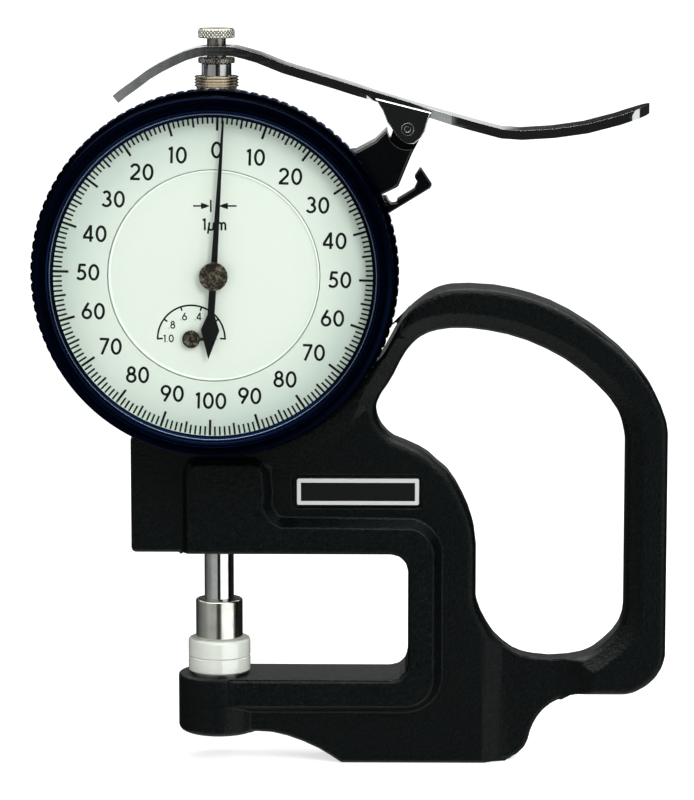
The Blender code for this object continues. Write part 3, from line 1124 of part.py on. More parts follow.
clear_scene()
PARTS = make_collection("dial_thickness_gauge")
PAINT = make_material("black_paint", (0.022, 0.025, 0.026), 0.0, 0.55)
GLOSS = make_material("black_gloss", (0.008, 0.009, 0.012), 0.0, 0.18)
BEZEL = make_material("bezel_black", (0.010, 0.012, 0.020), 0.2, 0.2)
CHROME = make_material("chrome", (0.80, 0.81, 0.83), 1.0, 0.12)
STEEL = make_material("polished_steel", (0.62, 0.62, 0.63), 1.0, 0.25)
NICKEL = make_material("satin_nickel", (0.70, 0.68, 0.64), 1.0, 0.35)
CASE_METAL = make_material("case_metal", (0.55, 0.56, 0.58), 1.0, 0.3)
PLATED = make_material("plated_plate", (0.75, 0.76, 0.78), 1.0, 0.2)
BRASS = make_material("brass", (0.72, 0.55, 0.28), 1.0, 0.3)
BLUED = make_material("spring_steel", (0.20, 0.25, 0.45), 1.0, 0.3)
JEWEL = make_material("ruby", (0.55, 0.02, 0.06), 0.0, 0.1)
CERAMIC = make_material("white_ceramic", (0.90, 0.90, 0.88), 0.0, 0.15)
DIAL = make_material("dial_white", (0.80, 0.82, 0.80), 0.0, 0.4)
HAND = make_material("pointer_black", (0.02, 0.02, 0.02), 0.0, 0.35)
GLASS = make_material("crystal_glass", (0.95, 0.97, 0.97), 0.0, 0.02)

build_frame()
build_name_plate()
build_anvil()
build_contact()
build_stem()
build_upper_bush()
build_lift_knob()
build_case()
build_back_cover()
build_bridges()
build_gears()
build_hairspring()
build_drive()
build_return_spring()
build_dial()
build_scale()
build_bezel()
build_hands()
build_lever()
build_bracket()
build_clamp()
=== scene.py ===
# %% Load the gauge
import json
import math

import bmesh
import bpy
from mathutils import Matrix, Vector

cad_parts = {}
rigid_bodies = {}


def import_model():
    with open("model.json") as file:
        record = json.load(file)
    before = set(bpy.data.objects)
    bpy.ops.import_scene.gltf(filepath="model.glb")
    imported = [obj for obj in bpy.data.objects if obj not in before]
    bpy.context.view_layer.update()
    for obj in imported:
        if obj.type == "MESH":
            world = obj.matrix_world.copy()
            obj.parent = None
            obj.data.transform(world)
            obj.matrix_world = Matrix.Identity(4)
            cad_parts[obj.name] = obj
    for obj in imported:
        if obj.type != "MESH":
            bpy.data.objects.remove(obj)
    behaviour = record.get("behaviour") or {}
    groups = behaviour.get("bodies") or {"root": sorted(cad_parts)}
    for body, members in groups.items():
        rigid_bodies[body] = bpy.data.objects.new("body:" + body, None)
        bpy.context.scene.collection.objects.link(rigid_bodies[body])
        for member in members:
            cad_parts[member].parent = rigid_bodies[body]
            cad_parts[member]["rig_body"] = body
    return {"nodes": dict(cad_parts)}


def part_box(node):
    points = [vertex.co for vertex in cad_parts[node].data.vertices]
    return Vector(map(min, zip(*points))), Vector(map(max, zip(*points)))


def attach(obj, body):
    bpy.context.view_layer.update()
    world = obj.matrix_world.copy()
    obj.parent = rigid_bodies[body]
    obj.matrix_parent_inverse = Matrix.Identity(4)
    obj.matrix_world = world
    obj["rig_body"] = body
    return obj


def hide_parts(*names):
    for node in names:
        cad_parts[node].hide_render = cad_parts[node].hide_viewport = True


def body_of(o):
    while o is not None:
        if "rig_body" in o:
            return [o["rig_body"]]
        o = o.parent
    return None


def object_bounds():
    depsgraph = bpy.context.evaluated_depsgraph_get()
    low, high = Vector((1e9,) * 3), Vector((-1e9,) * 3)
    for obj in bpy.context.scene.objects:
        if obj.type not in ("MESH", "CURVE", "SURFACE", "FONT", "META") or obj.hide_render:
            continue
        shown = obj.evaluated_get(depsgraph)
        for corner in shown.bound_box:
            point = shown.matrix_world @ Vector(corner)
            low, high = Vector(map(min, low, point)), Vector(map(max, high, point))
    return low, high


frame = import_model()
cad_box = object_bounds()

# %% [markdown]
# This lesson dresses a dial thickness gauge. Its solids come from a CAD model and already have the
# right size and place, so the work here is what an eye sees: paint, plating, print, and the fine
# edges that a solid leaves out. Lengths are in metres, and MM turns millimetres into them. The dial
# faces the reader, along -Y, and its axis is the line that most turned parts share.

MM = 0.001
DIAL_Z = 62.6 * MM
DIAL_MIDDLE = (0, 0, DIAL_Z)
SAME_POINT = 0.001 * MM
nodes = frame["nodes"]

# %% [markdown]
# The camera is the first thing to settle, because every later choice is judged through it. The
# gauge was seen from the front with a long lens, a little from above, so its uprights stay nearly
# parallel. A camera can be guessed by eye or solved from known points; this one was solved from the
# anvil, the bezel and the base, whose true sizes are known.

# %% Camera
FOCAL_PIXELS = 3560
PICTURE_HEIGHT = 800
SENSOR_WIDTH = 36
CLIP_NEAR, CLIP_FAR = 0.05, 20
CAMERA_PLACE = (28.89 * MM, -562.1 * MM, 122.45 * MM)
LOOKS_DOWN, LOOKS_LEFT = 8.2, 0.85
camera_data = bpy.data.cameras.new("camera")
camera_data.sensor_width = SENSOR_WIDTH
camera_data.lens = FOCAL_PIXELS / PICTURE_HEIGHT * camera_data.sensor_width
camera_data.clip_start, camera_data.clip_end = CLIP_NEAR, CLIP_FAR
camera = bpy.data.objects.new("camera", camera_data)
camera.location = CAMERA_PLACE
camera.rotation_euler = (math.radians(90 - LOOKS_DOWN), 0, math.radians(LOOKS_LEFT))
bpy.context.scene.collection.objects.link(camera)
bpy.context.scene.camera = camera
print("lens", round(camera_data.lens, 1), "mm")

# %% [markdown]
# Shader arithmetic reads best as arithmetic. The small class below wraps one output of a node, so
# that an expression such as 1 - mask * 0.5 adds the Math nodes by itself. It holds only the sums
# that this lesson uses.


# %% Sockets that can be added and multiplied
class Value:
    def __init__(self, finish, socket):
        self.finish, self.socket = finish, socket

    def math(self, operation, *numbers):
        return self.finish.node("Math", {"operation": operation}, dict(enumerate(numbers)))

    def __add__(self, other):
        return self.math("ADD", self, other)

    def __radd__(self, other):
        return self.math("ADD", other, self)

    def __sub__(self, other):
        return self.math("SUBTRACT", self, other)

    def __rsub__(self, other):
        return self.math("SUBTRACT", other, self)

    def __mul__(self, other):
        return self.math("MULTIPLY", self, other)

    def __truediv__(self, other):
        return self.math("DIVIDE", self, other)

    def __pow__(self, other):
        return self.math("POWER", self, other)

    def __abs__(self):
        return self.math("ABSOLUTE", self)

    def sine(self):
        return self.math("SINE", self)

    def angle_from(self, other):
        return self.math("ARCTAN2", self, other)

    def least(self, other):
        return self.math("MINIMUM", self, other)

    def most(self, other):
        return self.math("MAXIMUM", self, other)

    def ramp(self, low, high, to_low=0.0, to_high=1.0):
        """Smoothly from to_low where this is below low, to to_high where it is above high."""
        sockets = {0: self, 1: low, 2: high, 3: to_low, 4: to_high}
        return self.finish.node("MapRange", {"interpolation_type": "SMOOTHSTEP"}, sockets)


print("sockets can be added and multiplied")

# %% [markdown]
# A finish is a material with its own tree of nodes. Every kind of node comes from one method, node,
# which takes the node's type, its settings and what goes into its sockets. The other methods name
# what a finish is built from: a place on the object, noise of a true size, a blend of two colours,
# a bump of a true depth, and the surface itself.


# %% One finish, and the nodes that give it its look
class Finish:
    def __init__(self, name, tree=None):
        if tree is None:
            self.material = bpy.data.materials.new(name)
            self.material.use_nodes = True
            tree = self.material.node_tree
        self.tree = tree
        self.tree.nodes.clear()

    def node(self, kind, settings=None, sockets=None, output=0):
        made = self.tree.nodes.new("ShaderNode" + kind)
        for name, value in (settings or {}).items():
            if name == "stops":
                self.set_stops(made.color_ramp, value)
            else:
                setattr(made, name, value)
        for name, value in (sockets or {}).items():
            if isinstance(value, Value):
                self.tree.links.new(value.socket, made.inputs[name])
            else:
                made.inputs[name].default_value = value
        return Value(self, made.outputs[output] if made.outputs else None)

    def set_stops(self, ramp, stops):
        """Stops are pairs of a place from 0 to 1 and a grey level."""
        while len(ramp.elements) < len(stops):
            ramp.elements.new(1.0)
        for element, (place, level) in zip(ramp.elements, stops):
            element.position = place
            element.color = (level, level, level, 1)

    def outputs(self, kind, names, sockets=None):
        """Several outputs of one node, in the order of their names."""
        made = self.node(kind, sockets=sockets).socket.node
        return [Value(self, made.outputs[name]) for name in names]

    def place(self, origin=(0, 0, 0), turn=(0, 0, 0), stretch=(1, 1, 1)):
        """Object coordinates, moved so that origin is their zero, then turned and stretched."""
        here = self.node("TexCoord", output="Object")
        moved = self.node("VectorMath", {"operation": "SUBTRACT"}, {0: here, 1: origin})
        return self.node("Mapping", sockets={"Vector": moved, "Rotation": turn, "Scale": stretch})

    def parts(self, vector):
        return self.outputs("SeparateXYZ", ("X", "Y", "Z"), {0: vector})

    def noise(self, vector, size, detail=2, roughness=0.5):
        """Noise from 0 to 1 whose lumps are about size metres across."""
        sockets = {"Vector": vector, "Scale": 1 / size, "Detail": detail, "Roughness": roughness}
        return self.node("TexNoise", sockets=sockets)

    def blend(self, factor, first, second):
        sockets = {0: factor, 6: first, 7: second}
        return self.node("Mix", {"data_type": "RGBA"}, sockets, output=2)

    def relief(self, height, depth, strength=1.0):
        """A bump whose full height is depth metres."""
        sockets = {"Strength": strength, "Distance": depth, "Height": height}
        return self.node("Bump", sockets=sockets, output="Normal")

    def surface(self, **sockets):
        """The Principled material. A keyword is a socket's name, with _ for each space."""
        named = {name.replace("_", " "): value for name, value in sockets.items()}
        shader = self.node("BsdfPrincipled", sockets=named)
        self.node("OutputMaterial", sockets={"Surface": shader})
        return self.material


def shade(*rgb):
    return (*rgb, 1.0)


def reach(a, b):
    """How far a point is from an axis, from its two coordinates square to that axis."""
    return (a * a + b * b) ** 0.5


print("shader helpers ready")

# %% [markdown]
# Bright metal is only as good as what it mirrors. A plain white world would turn the spindle and
# the lever into paper, so the part of the world that mirrors see is banded round the horizon, as a
# product photographer's boxes and black cards would make it. Each stop is an angle, counted from
# the camera's side to the right, and a brightness. Low down, where the upright metal near the floor
# looks, it is grey on the left, then black where the camera stands, then one wide bright box, a
# thin strip of light and a black side. Higher up the black is wider and the box stands further
# right.

# %% Bands round the horizon
LOW_BANDS = (
    (-180, 0.03), (-130, 0.05), (-64, 0.32), (-54, 0.48), (-13, 0.52), (-8, 0.015), (12, 0.015),
    (15, 1.8), (74, 1.8), (79, 0.03), (88, 0.03), (91, 1.0), (96, 1.0), (100, 0.015),
    (174, 0.015), (180, 0.03),
)
HIGH_BANDS = (
    (-180, 0.03), (-125, 0.06), (-90, 0.3), (-55, 0.42), (-4.6, 0.34), (-3.7, 0.015), (28, 0.015),
    (32, 0.95), (68, 0.95), (73, 0.02), (150, 0.02), (170, 0.03), (180, 0.03),
)
world = bpy.data.worlds.new("studio")
world.use_nodes = True
bpy.context.scene.world = world
sky = Finish("studio", world.node_tree)
rays = ("Is Camera Ray", "Is Glossy Ray", "Is Transmission Ray")
seen, glossy, through = sky.outputs("LightPath", rays)
x, y, z = sky.parts(sky.node("TexCoord", output="Generated"))
round_horizon = x.angle_from(0 - y) / (2 * math.pi) + 0.5


def banded(bands):
    stops = [(degrees / 360 + 0.5, level) for degrees, level in bands]
    return sky.node("ValToRGB", {"stops": stops}, {0: round_horizon})


low_ring, high_ring = banded(LOW_BANDS), banded(HIGH_BANDS)
print("world with", len(LOW_BANDS), "stops low down and", len(HIGH_BANDS), "above them")

# %% [markdown]
# The two rings are joined a little below the horizon. Over them is a bright ceiling. Well below the
# horizon they grow dimmer, and straight down is the pale floor. Straight behind the gauge is a pale
# patch, for surfaces that mirror it at a grazing angle. Heights are those of a direction one unit
# long, so they run from -1, straight down, to 1. The camera sees plain white, also through clear
# pieces, and surfaces that are not mirrors get an even, weak light.

# %% World
JOIN = (-0.115, -0.09)
CEILING, CEILING_LIGHT = (0.45, 0.7), 4.0
UNDERSIDE, UNDERSIDE_LIGHT = (-0.32, -0.24), 0.55
DOWN, DOWN_LIGHT = (-0.72, -0.5), 0.9
BEHIND, BEHIND_TOP, BEHIND_LIGHT = (0.975, 0.985), (0.05, 0.065), 0.75
EVEN_LIGHT = 0.34
WHITE_SKY = shade(0.985, 1.0, 0.99)
raised = z.ramp(*JOIN)
overhead = z.ramp(*CEILING)
beneath = z.ramp(*UNDERSIDE, UNDERSIDE_LIGHT, 1.0)
horizon_behind = y.ramp(*BEHIND) * raised * (1 - z.ramp(*BEHIND_TOP))
steep_down = 1 - z.ramp(*DOWN)
round_about = (low_ring * (1 - raised) + high_ring * raised) * beneath * (1 - overhead)
lit_from_above = round_about + overhead * CEILING_LIGHT
mirrored = lit_from_above + steep_down * DOWN_LIGHT + horizon_behind * BEHIND_LIGHT
white = seen.most(through)
strength = white + (1 - white) * (glossy * mirrored + (1 - glossy) * EVEN_LIGHT)
background = sky.node("Background", sockets={"Color": WHITE_SKY, "Strength": strength})
sky.node("OutputWorld", sockets={"Surface": background})
print("world made of", len(sky.tree.nodes), "nodes")

# %% [markdown]
# Four soft lamps light the surfaces that are not mirrors. Area lamps are used, because their size
# sets how soft a shadow is. They are hidden from mirrors: what the metal shows is the banded world
# alone, which is easier to steer. Each row gives a lamp's place, its size and its power in watts.

# %% Lamps
LAMPS = {
    "key_light": ((0.36, -0.62, 0.5), (0.3, 0.5), 4.2),
    "side_light": ((0.62, -0.34, 0.3), (0.2, 0.5), 1.1),
    "fill_light": ((-0.6, -0.5, 0.3), (0.5, 0.5), 1.0),
    "top_light": ((0.0, 0.15, 0.75), (0.6, 0.4), 2.4),
}
LAMPS_AIM = Vector((0.02, 0, 0.045))
for name, (place, size, power) in LAMPS.items():
    data = bpy.data.lights.new(name, "AREA")
    data.shape = "RECTANGLE"
    data.size, data.size_y = size
    data.energy = power
    lamp = bpy.data.objects.new(name, data)
    lamp.location = place
    lamp.rotation_euler = (LAMPS_AIM - Vector(place)).to_track_quat("-Z", "Y").to_euler()
    lamp.visible_glossy = False
    bpy.context.scene.collection.objects.link(lamp)
print(len(LAMPS), "lamps")

# %% [markdown]
# The floor is one large sheet, level with the flat under the casting. It must look white and still
# keep the gauge's soft shadow, so it gives off most of its white itself, only towards the camera,
# and takes the rest from the lamps. Far from the lamps it gives off more, so that it stays white up
# to the top of the picture. Mirrors look through it to the banded world.

# %% Floor
FLOOR_SIZE, FLOOR_MIDDLE_Y = 12, 3
FLOOR_GAP = 0.02 * MM
GLOW_GROWS, GLOW_NEAR, GLOW_FAR = (0.25, 1.6), 0.64, 1.0
bpy.ops.object.select_all(action="DESELECT")
floor_place = (0, FLOOR_MIDDLE_Y, cad_box[0].z - FLOOR_GAP)
bpy.ops.mesh.primitive_plane_add(size=FLOOR_SIZE, location=floor_place)
floor = bpy.context.object
floor.name = "floor"
paper = Finish("white_sweep")
seen, through = paper.outputs("LightPath", ("Is Camera Ray", "Is Transmission Ray"))
spot = paper.node("NewGeometry", output="Position")
away = paper.node("VectorMath", {"operation": "LENGTH"}, {0: spot}, output="Value")
glow = seen.most(through) * away.ramp(*GLOW_GROWS, GLOW_NEAR, GLOW_FAR)
diffuse = paper.node("BsdfDiffuse", sockets={"Color": shade(0.8, 0.8, 0.8)})
lit = paper.node("Emission", sockets={"Color": shade(1, 1, 1), "Strength": glow})
both = paper.node("AddShader", sockets={0: diffuse, 1: lit})
paper.node("OutputMaterial", sockets={"Surface": both})
floor.data.materials.append(paper.material)
floor.visible_glossy = False
print("floor at z", round(floor.location.z / MM, 3), "mm")

# %% [markdown]
# The casting is painted with a black crinkle paint: matte, a little green in the light, with a skin
# of small rounded lumps about half a millimetre across. A picture of the skin could be wrapped
# round it, but procedural noise has no seams and no size limit. Two sizes of noise drive the bump,
# and a slower one varies the gloss where hands have rubbed it. The colour follows the lumps too, as
# painted shade in their hollows and painted light on their crests, and a fine noise picks the few
# grains that get a painted glint.

# %% Crinkle paint
LUMP, GRAIN, GLINT, RUBBED = 0.42 * MM, 0.16 * MM, 0.2 * MM, 14 * MM
HOLLOW_PAINTED_SHADE = shade(0.0004, 0.0013, 0.0013)
CREST_PAINTED_LIGHT = shade(0.0012, 0.0029, 0.0029)
PAINTED_GLINT = shade(0.008, 0.0145, 0.014)
paint = Finish("crinkle_paint")
here = paint.place()
lumps = paint.noise(here, LUMP, 2, 0.55)
grain = paint.noise(here, GRAIN, 2, 0.5)
wear = paint.noise(here, RUBBED, 3, 0.5)
painted_glints = paint.noise(paint.place(stretch=(0.6, 1, 1)), GLINT, 1, 0.5).ramp(0.62, 0.74)
height = lumps.ramp(0.32, 0.7) + grain * 0.3
# Base colour: painted shade in the hollows of the lumps, painted light on their crests, and painted
# glints on a few grains.
PAINT = paint.surface(
    Base_Color=paint.blend(painted_glints, paint.blend(lumps.ramp(0.4, 0.75), HOLLOW_PAINTED_SHADE, CREST_PAINTED_LIGHT), PAINTED_GLINT),
    Roughness=0.3 + wear * 0.08 - painted_glints * 0.08,
    Specular_IOR_Level=0.14,
    Normal=paint.relief(height, 0.06 * MM, 0.8),
)
print("made", PAINT.name)

# %% [markdown]
# The lever bracket and the bezel clamp are smooth black. Stove enamel is never quite flat: it has
# a long, faint orange peel, and fine dust that dulls it in spots.

# %% Black enamel
PEEL, DUST = 1.6 * MM, 0.25 * MM
enamel = Finish("black_enamel")
here = enamel.place()
peel = enamel.noise(here, PEEL, 1, 0.4)
dust = enamel.noise(here, DUST, 4, 0.7).ramp(0.62, 0.75)
ENAMEL = enamel.surface(
    Base_Color=enamel.blend(dust, shade(0.0014, 0.0018, 0.0026), shade(0.006, 0.007, 0.009)),
    Roughness=0.14 + peel * 0.06 + dust * 0.15,
    Specular_IOR_Level=0.4,
    Normal=enamel.relief(peel, 0.02 * MM, 0.5),
)
print("made", ENAMEL.name)

# %% [markdown]
# The bezel is anodised rather than painted: a black film on bright metal, so its edges reflect a
# deep navy. That is a metal with a nearly black colour, with the rings of the turning tool in its
# bump. They show most on the lip round the crystal, whose chamfer was cut after the black, so that
# a narrow ring of it is bright.

# %% Black bezel
RING_PITCH, FILM_CLOUD = 0.07 * MM, 4 * MM
LIP = (26.4 * MM, 26.7 * MM)
CHAMFER_IN, CHAMFER_OUT = (25.26 * MM, 25.3 * MM), (25.41 * MM, 25.45 * MM)
CHAMFER_BACK, FADE = 14.8 * MM, 0.05 * MM
NAVY = shade(0.006, 0.018, 0.07)
anodised = Finish("black_anodised")
here = anodised.place(origin=DIAL_MIDDLE)
x, y, z = anodised.parts(here)
out = reach(x, z)
tool_path = anodised.node("CombineXYZ", sockets={0: out, 1: y})
rings = anodised.noise(tool_path, RING_PITCH, 3, 0.6)
cloud = anodised.noise(here, FILM_CLOUD, 2)
near_lip = 1 - out.ramp(*LIP)
line = rings.ramp(0.5, 0.66) * (0.25 + near_lip * 0.75)
film = anodised.blend(line, shade(0.0006, 0.0016, 0.006), NAVY)
on_chamfer = out.ramp(*CHAMFER_IN) * (1 - out.ramp(*CHAMFER_OUT))
polished = on_chamfer * (1 - (y + CHAMFER_BACK).ramp(0, FADE))
BEZEL_BLACK = anodised.surface(
    Base_Color=anodised.blend(polished, film, shade(0.42, 0.55, 0.72)),
    Metallic=0.85,
    Specular_Tint=shade(0.10, 0.2, 0.42),
    Specular_IOR_Level=0.3,
    Roughness=0.14 + rings * 0.12 + cloud * 0.05,
    Normal=anodised.relief(rings, 0.006 * MM, 0.6),
)
print("made", BEZEL_BLACK.name)

# %% [markdown]
# Bright metal shows mostly what is around it, so its own detail is small: the scratches of
# grinding, and a change in gloss from place to place. Parts turned on a lathe carry rings round
# their own axis. One function makes them all: it is told the metal's colour, how rough it is, how
# coarse the tool was, and whether it was turned about the spindle's axis or the dial's.


# %% Turned and ground metals
TOOL_DEPTH = 0.004 * MM
CLOUD = 2.5 * MM


def metal(name, colour, rough, on_dial=False, pitch=0.12, smear=0.1):
    """A turned metal. Its tool's pitch is in millimetres, and smear varies its gloss."""
    finish = Finish(name)
    here = finish.place(origin=DIAL_MIDDLE if on_dial else (0, 0, 0))
    x, y, z = finish.parts(here)
    along, out = (y, reach(x, z)) if on_dial else (z, reach(x, y))
    tool_path = finish.node("CombineXYZ", sockets={0: out, 1: along})
    tool = finish.noise(tool_path, pitch * MM, 4, 0.65)
    cloud = finish.noise(here, CLOUD, 3, 0.6)
    stained = cloud.ramp(0.35, 0.75) * 0.6 + tool * 0.4
    darker = tuple(part * 0.72 for part in colour)
    return finish.surface(
        Base_Color=finish.blend(stained, shade(*colour), shade(*darker)),
        Metallic=1.0,
        Roughness=rough + tool * smear + cloud * smear,
        Normal=finish.relief(tool, TOOL_DEPTH, 0.7),
    )


STEEL = metal("ground_steel", (0.72, 0.73, 0.72), 0.05, smear=0.05)
STEEL_Y = metal("turned_steel", (0.66, 0.67, 0.67), 0.16, on_dial=True)
NICKEL = metal("satin_nickel", (0.76, 0.77, 0.70), 0.13, pitch=0.07, smear=0.06)
ALUMINIUM = metal("turned_aluminium", (0.50, 0.51, 0.53), 0.24, on_dial=True, pitch=0.2)
BRASS = metal("turned_brass", (0.62, 0.45, 0.21), 0.2, on_dial=True)
BRASSY = metal("nickel_brass", (0.66, 0.58, 0.44), 0.12, pitch=0.3, smear=0.06)
BLUED = metal("blued_steel", (0.06, 0.10, 0.28), 0.2, on_dial=True)
print("six metals and a blued one")

# %% [markdown]
# The rims of the lifting screw and of the ring below it are knurled by two crossing sets of
# grooves. The grooves are too fine to model one by one at this size, so they are a bump: two waves
# that climb round the axis in opposite directions, seen only on the rim and not on the flat ends.
# The same waves set the colour, as painted highlights on the tops of the diamonds and painted shade
# in the grooves, mixed with random bright spots; off the rim the colour stays at the dark end,
# lifted only by the spots.

# %% Knurled steel
KNURL_STARTS = 30
KNURL_PITCH = 0.62 * MM
KNURL_RIM = (2.72 * MM, 2.82 * MM)
knurl = Finish("knurled_steel")
here = knurl.place()
x, y, z = knurl.parts(here)
turn = y.angle_from(x)
climb = z * (2 * math.pi / KNURL_PITCH)
left = (turn * KNURL_STARTS + climb).sine()
right = (turn * KNURL_STARTS - climb).sine()
diamonds = left.least(right).ramp(-0.9, 0.5) * reach(x, y).ramp(*KNURL_RIM)
spots = knurl.noise(here, 0.3 * MM, 3, 0.6)
# Colour mask: painted highlights on the diamonds and painted shade in the grooves, with random
# bright spots.
knurl_painted_light_and_spots = diamonds * 0.7 + spots * 0.3
KNURLED = knurl.surface(
    Base_Color=knurl.blend(knurl_painted_light_and_spots, shade(0.14, 0.125, 0.10), shade(0.97, 0.95, 0.88)),
    Metallic=1.0,
    Roughness=0.18 + spots * 0.16,
    Normal=knurl.relief(diamonds, 0.16 * MM, 0.9),
)
print("made", KNURLED.name)

# %% [markdown]
# The lifting lever is a pressed strip, and it and its pin are plated with bright chrome. Chrome is
# nearly a mirror, so what tells it from glass is what wears it: a faint wave from the press, and
# fine rubbing along the lever's length where a thumb slides.

# %% Chrome of the lever
WAVE, RUB = 5 * MM, 0.5 * MM
chrome = Finish("bright_chrome")
wave = chrome.noise(chrome.place(), WAVE, 2, 0.5)
rub = chrome.noise(chrome.place(stretch=(0.15, 1, 1)), RUB, 4, 0.7)
CHROME = chrome.surface(
    Base_Color=chrome.blend(rub.ramp(0.5, 0.8), shade(0.80, 0.82, 0.83), shade(0.60, 0.62, 0.63)),
    Metallic=1.0,
    Roughness=0.04 + rub.ramp(0.45, 0.8) * 0.1,
    Normal=chrome.relief(wave + rub * 0.05, 0.03 * MM, 0.4),
)
print("made", CHROME.name)

# %% [markdown]
# The two measuring faces are white sintered ceramic: dense, lapped flat, with a wet gloss and a
# faint glow under the skin. Light that goes in and comes out again beside itself is what the
# subsurface sockets are for, and a coat gives the gloss.

# %% Ceramic
SPECK, BAND, GLOW_DEPTH = 0.12 * MM, 0.3 * MM, 0.6 * MM
ceramic = Finish("white_ceramic")
speck = ceramic.noise(ceramic.place(), SPECK, 3, 0.6)
bands = ceramic.noise(ceramic.place(stretch=(0.1, 0.1, 1)), BAND, 2, 0.5)
mottled = speck * 0.5 + bands * 0.5
CERAMIC = ceramic.surface(
    Base_Color=ceramic.blend(mottled, shade(0.70, 0.74, 0.67), shade(0.80, 0.83, 0.77)),
    Roughness=0.07 + speck * 0.06,
    Specular_IOR_Level=0.9,
    Coat_Weight=0.6,
    Subsurface_Weight=0.15,
    Subsurface_Scale=GLOW_DEPTH,
    Normal=ceramic.relief(bands, 0.004 * MM, 0.5),
)
print("made", CERAMIC.name)

# %% [markdown]
# The dial is a silver-white lacquer, softly metallic, with very fine grain. Its colour is darker
# towards its edge, most of all at the upper left and the lower right, as a painted shadow of the
# bezel. The rolled rim of the fixed dial has the same lacquer, a little brighter as a painted
# highlight. Dial print is a thick black ink.

# %% Dial lacquer and ink
FINE = 0.1 * MM
EDGE_SHADE = (12.0 * MM, 24.5 * MM)
LIGHT_SPAN = 24 * MM
lacquer = Finish("dial_lacquer")
here = lacquer.place(origin=DIAL_MIDDLE)
x, _, z = lacquer.parts(here)
fine = lacquer.noise(here, FINE, 2, 0.6)
from_light = (z - x) / LIGHT_SPAN
# Painted shadow of the bezel: darker towards the edge, most at the upper left and the lower right.
painted_bezel_shadow = (reach(x, z).ramp(*EDGE_SHADE) * (0.45 + abs(from_light) * 0.5)).least(1.0)
tone = lacquer.blend(painted_bezel_shadow, shade(0.85, 0.915, 0.83), shade(0.66, 0.745, 0.68))
LACQUER = lacquer.surface(
    Base_Color=lacquer.blend(fine.ramp(0.3, 0.7) * 0.16, tone, shade(0.60, 0.64, 0.60)),
    Roughness=0.42 + fine * 0.12,
    Metallic=0.12,
    Normal=lacquer.relief(fine, 0.004 * MM, 0.5),
)

rolled = Finish("bead_lacquer_painted_highlight")
fine = rolled.noise(rolled.place(), FINE, 2, 0.6)
grey = fine.ramp(0.3, 0.7) * 0.2
# Brighter than the dial's lacquer, as a painted highlight along the bead.
LACQUER_PAINTED_HIGHLIGHT = rolled.surface(
    Base_Color=rolled.blend(grey, shade(0.92, 0.97, 0.90), shade(0.85, 0.91, 0.83)),
    Roughness=0.3 + fine * 0.12,
    Normal=rolled.relief(fine, 0.003 * MM, 0.5),
)

ink = Finish("dial_ink")
coat = ink.noise(ink.place(), 0.08 * MM, 2, 0.6)
INK = ink.surface(
    Base_Color=ink.blend(coat, shade(0.0022, 0.0024, 0.003), shade(0.005, 0.0054, 0.006)),
    Roughness=0.4 + coat * 0.2,
    Specular_IOR_Level=0.2,
    Normal=ink.relief(coat, 0.003 * MM, 0.5),
)
print("made", LACQUER.name, LACQUER_PAINTED_HIGHLIGHT.name, INK.name)

# %% [markdown]
# The two hubs are brass pins that were blackened and then rubbed: brown-black, with flecks of gold
# where the metal comes through. Two noises of different size decide where. The small hub is one
# solid with its hand, so the hand's ink is kept for all that lies more than a hub's radius from the
# small axis.

# %% Rubbed hubs
SMALL_X, SMALL_Z = -3.55 * MM, DIAL_Z - 9.87 * MM
SMALL_MIDDLE = (SMALL_X, 0, SMALL_Z)
SMALL_HUB_EDGE = (1.37 * MM, 1.43 * MM)
PATCH, FLECK = 0.75 * MM, 0.22 * MM


def rubbed_metal(name, middle, hub_edge=None):
    finish = Finish(name)
    here = finish.place(origin=middle)
    patches = finish.noise(here, PATCH, 3, 0.65)
    flecks = finish.noise(here, FLECK, 2, 0.6)
    bare = (patches * 0.65 + flecks * 0.35).ramp(0.47, 0.62)
    colour = finish.blend(bare, shade(0.035, 0.03, 0.027), shade(0.42, 0.36, 0.25))
    shine = 0.75 + bare * 0.25
    if hub_edge:
        x, _, z = finish.parts(here)
        hand = reach(x, z).ramp(*hub_edge)
        colour = finish.blend(hand, colour, shade(0.008, 0.008, 0.009))
        shine = shine * (1 - hand)
    return finish.surface(
        Base_Color=colour,
        Metallic=shine,
        Roughness=0.3 + flecks * 0.2,
        Normal=finish.relief(patches, 0.03 * MM, 0.6),
    )


HUB = rubbed_metal("rubbed_hub", DIAL_MIDDLE)
SMALL_HUB = rubbed_metal("rubbed_small_hub", SMALL_MIDDLE, SMALL_HUB_EDGE)
print("made", HUB.name, SMALL_HUB.name)

# %% [markdown]
# The crystal and the jewels are the clear pieces. The crystal is acrylic: it must not darken what
# lies under it, and a refracting shader would bend and darken the print. So it is mixed from a
# transparent shader and a weak mirror, whose share grows towards the edge of sight. The jewels are
# synthetic ruby, as in any indicator that counts its jewels.

# %% Crystal and jewels
HAIRLINE = 0.1 * MM
LEAST_GLOSS, EDGE_GLOSS, SCRATCH_GLOSS = 0.008, 0.2, 0.004
crystal = Finish("acrylic_crystal")
along_hairs = crystal.place(turn=(0, 0.6, 0), stretch=(0.04, 1, 1))
hairline = crystal.noise(along_hairs, HAIRLINE, 3, 0.7).ramp(0.66, 0.8)
edge_on = crystal.node("LayerWeight", sockets={"Blend": 0.12}, output="Facing")
gloss = crystal.node("BsdfGlossy", sockets={"Color": shade(1, 1, 1), "Roughness": 0.03})
clear = crystal.node("BsdfTransparent", sockets={"Color": shade(0.985, 0.995, 0.988)})
share = (LEAST_GLOSS + edge_on * EDGE_GLOSS + hairline * SCRATCH_GLOSS).least(0.5)
mixed = crystal.node("MixShader", sockets={0: share, 1: clear, 2: gloss})
crystal.node("OutputMaterial", sockets={"Surface": mixed})
CRYSTAL = crystal.material

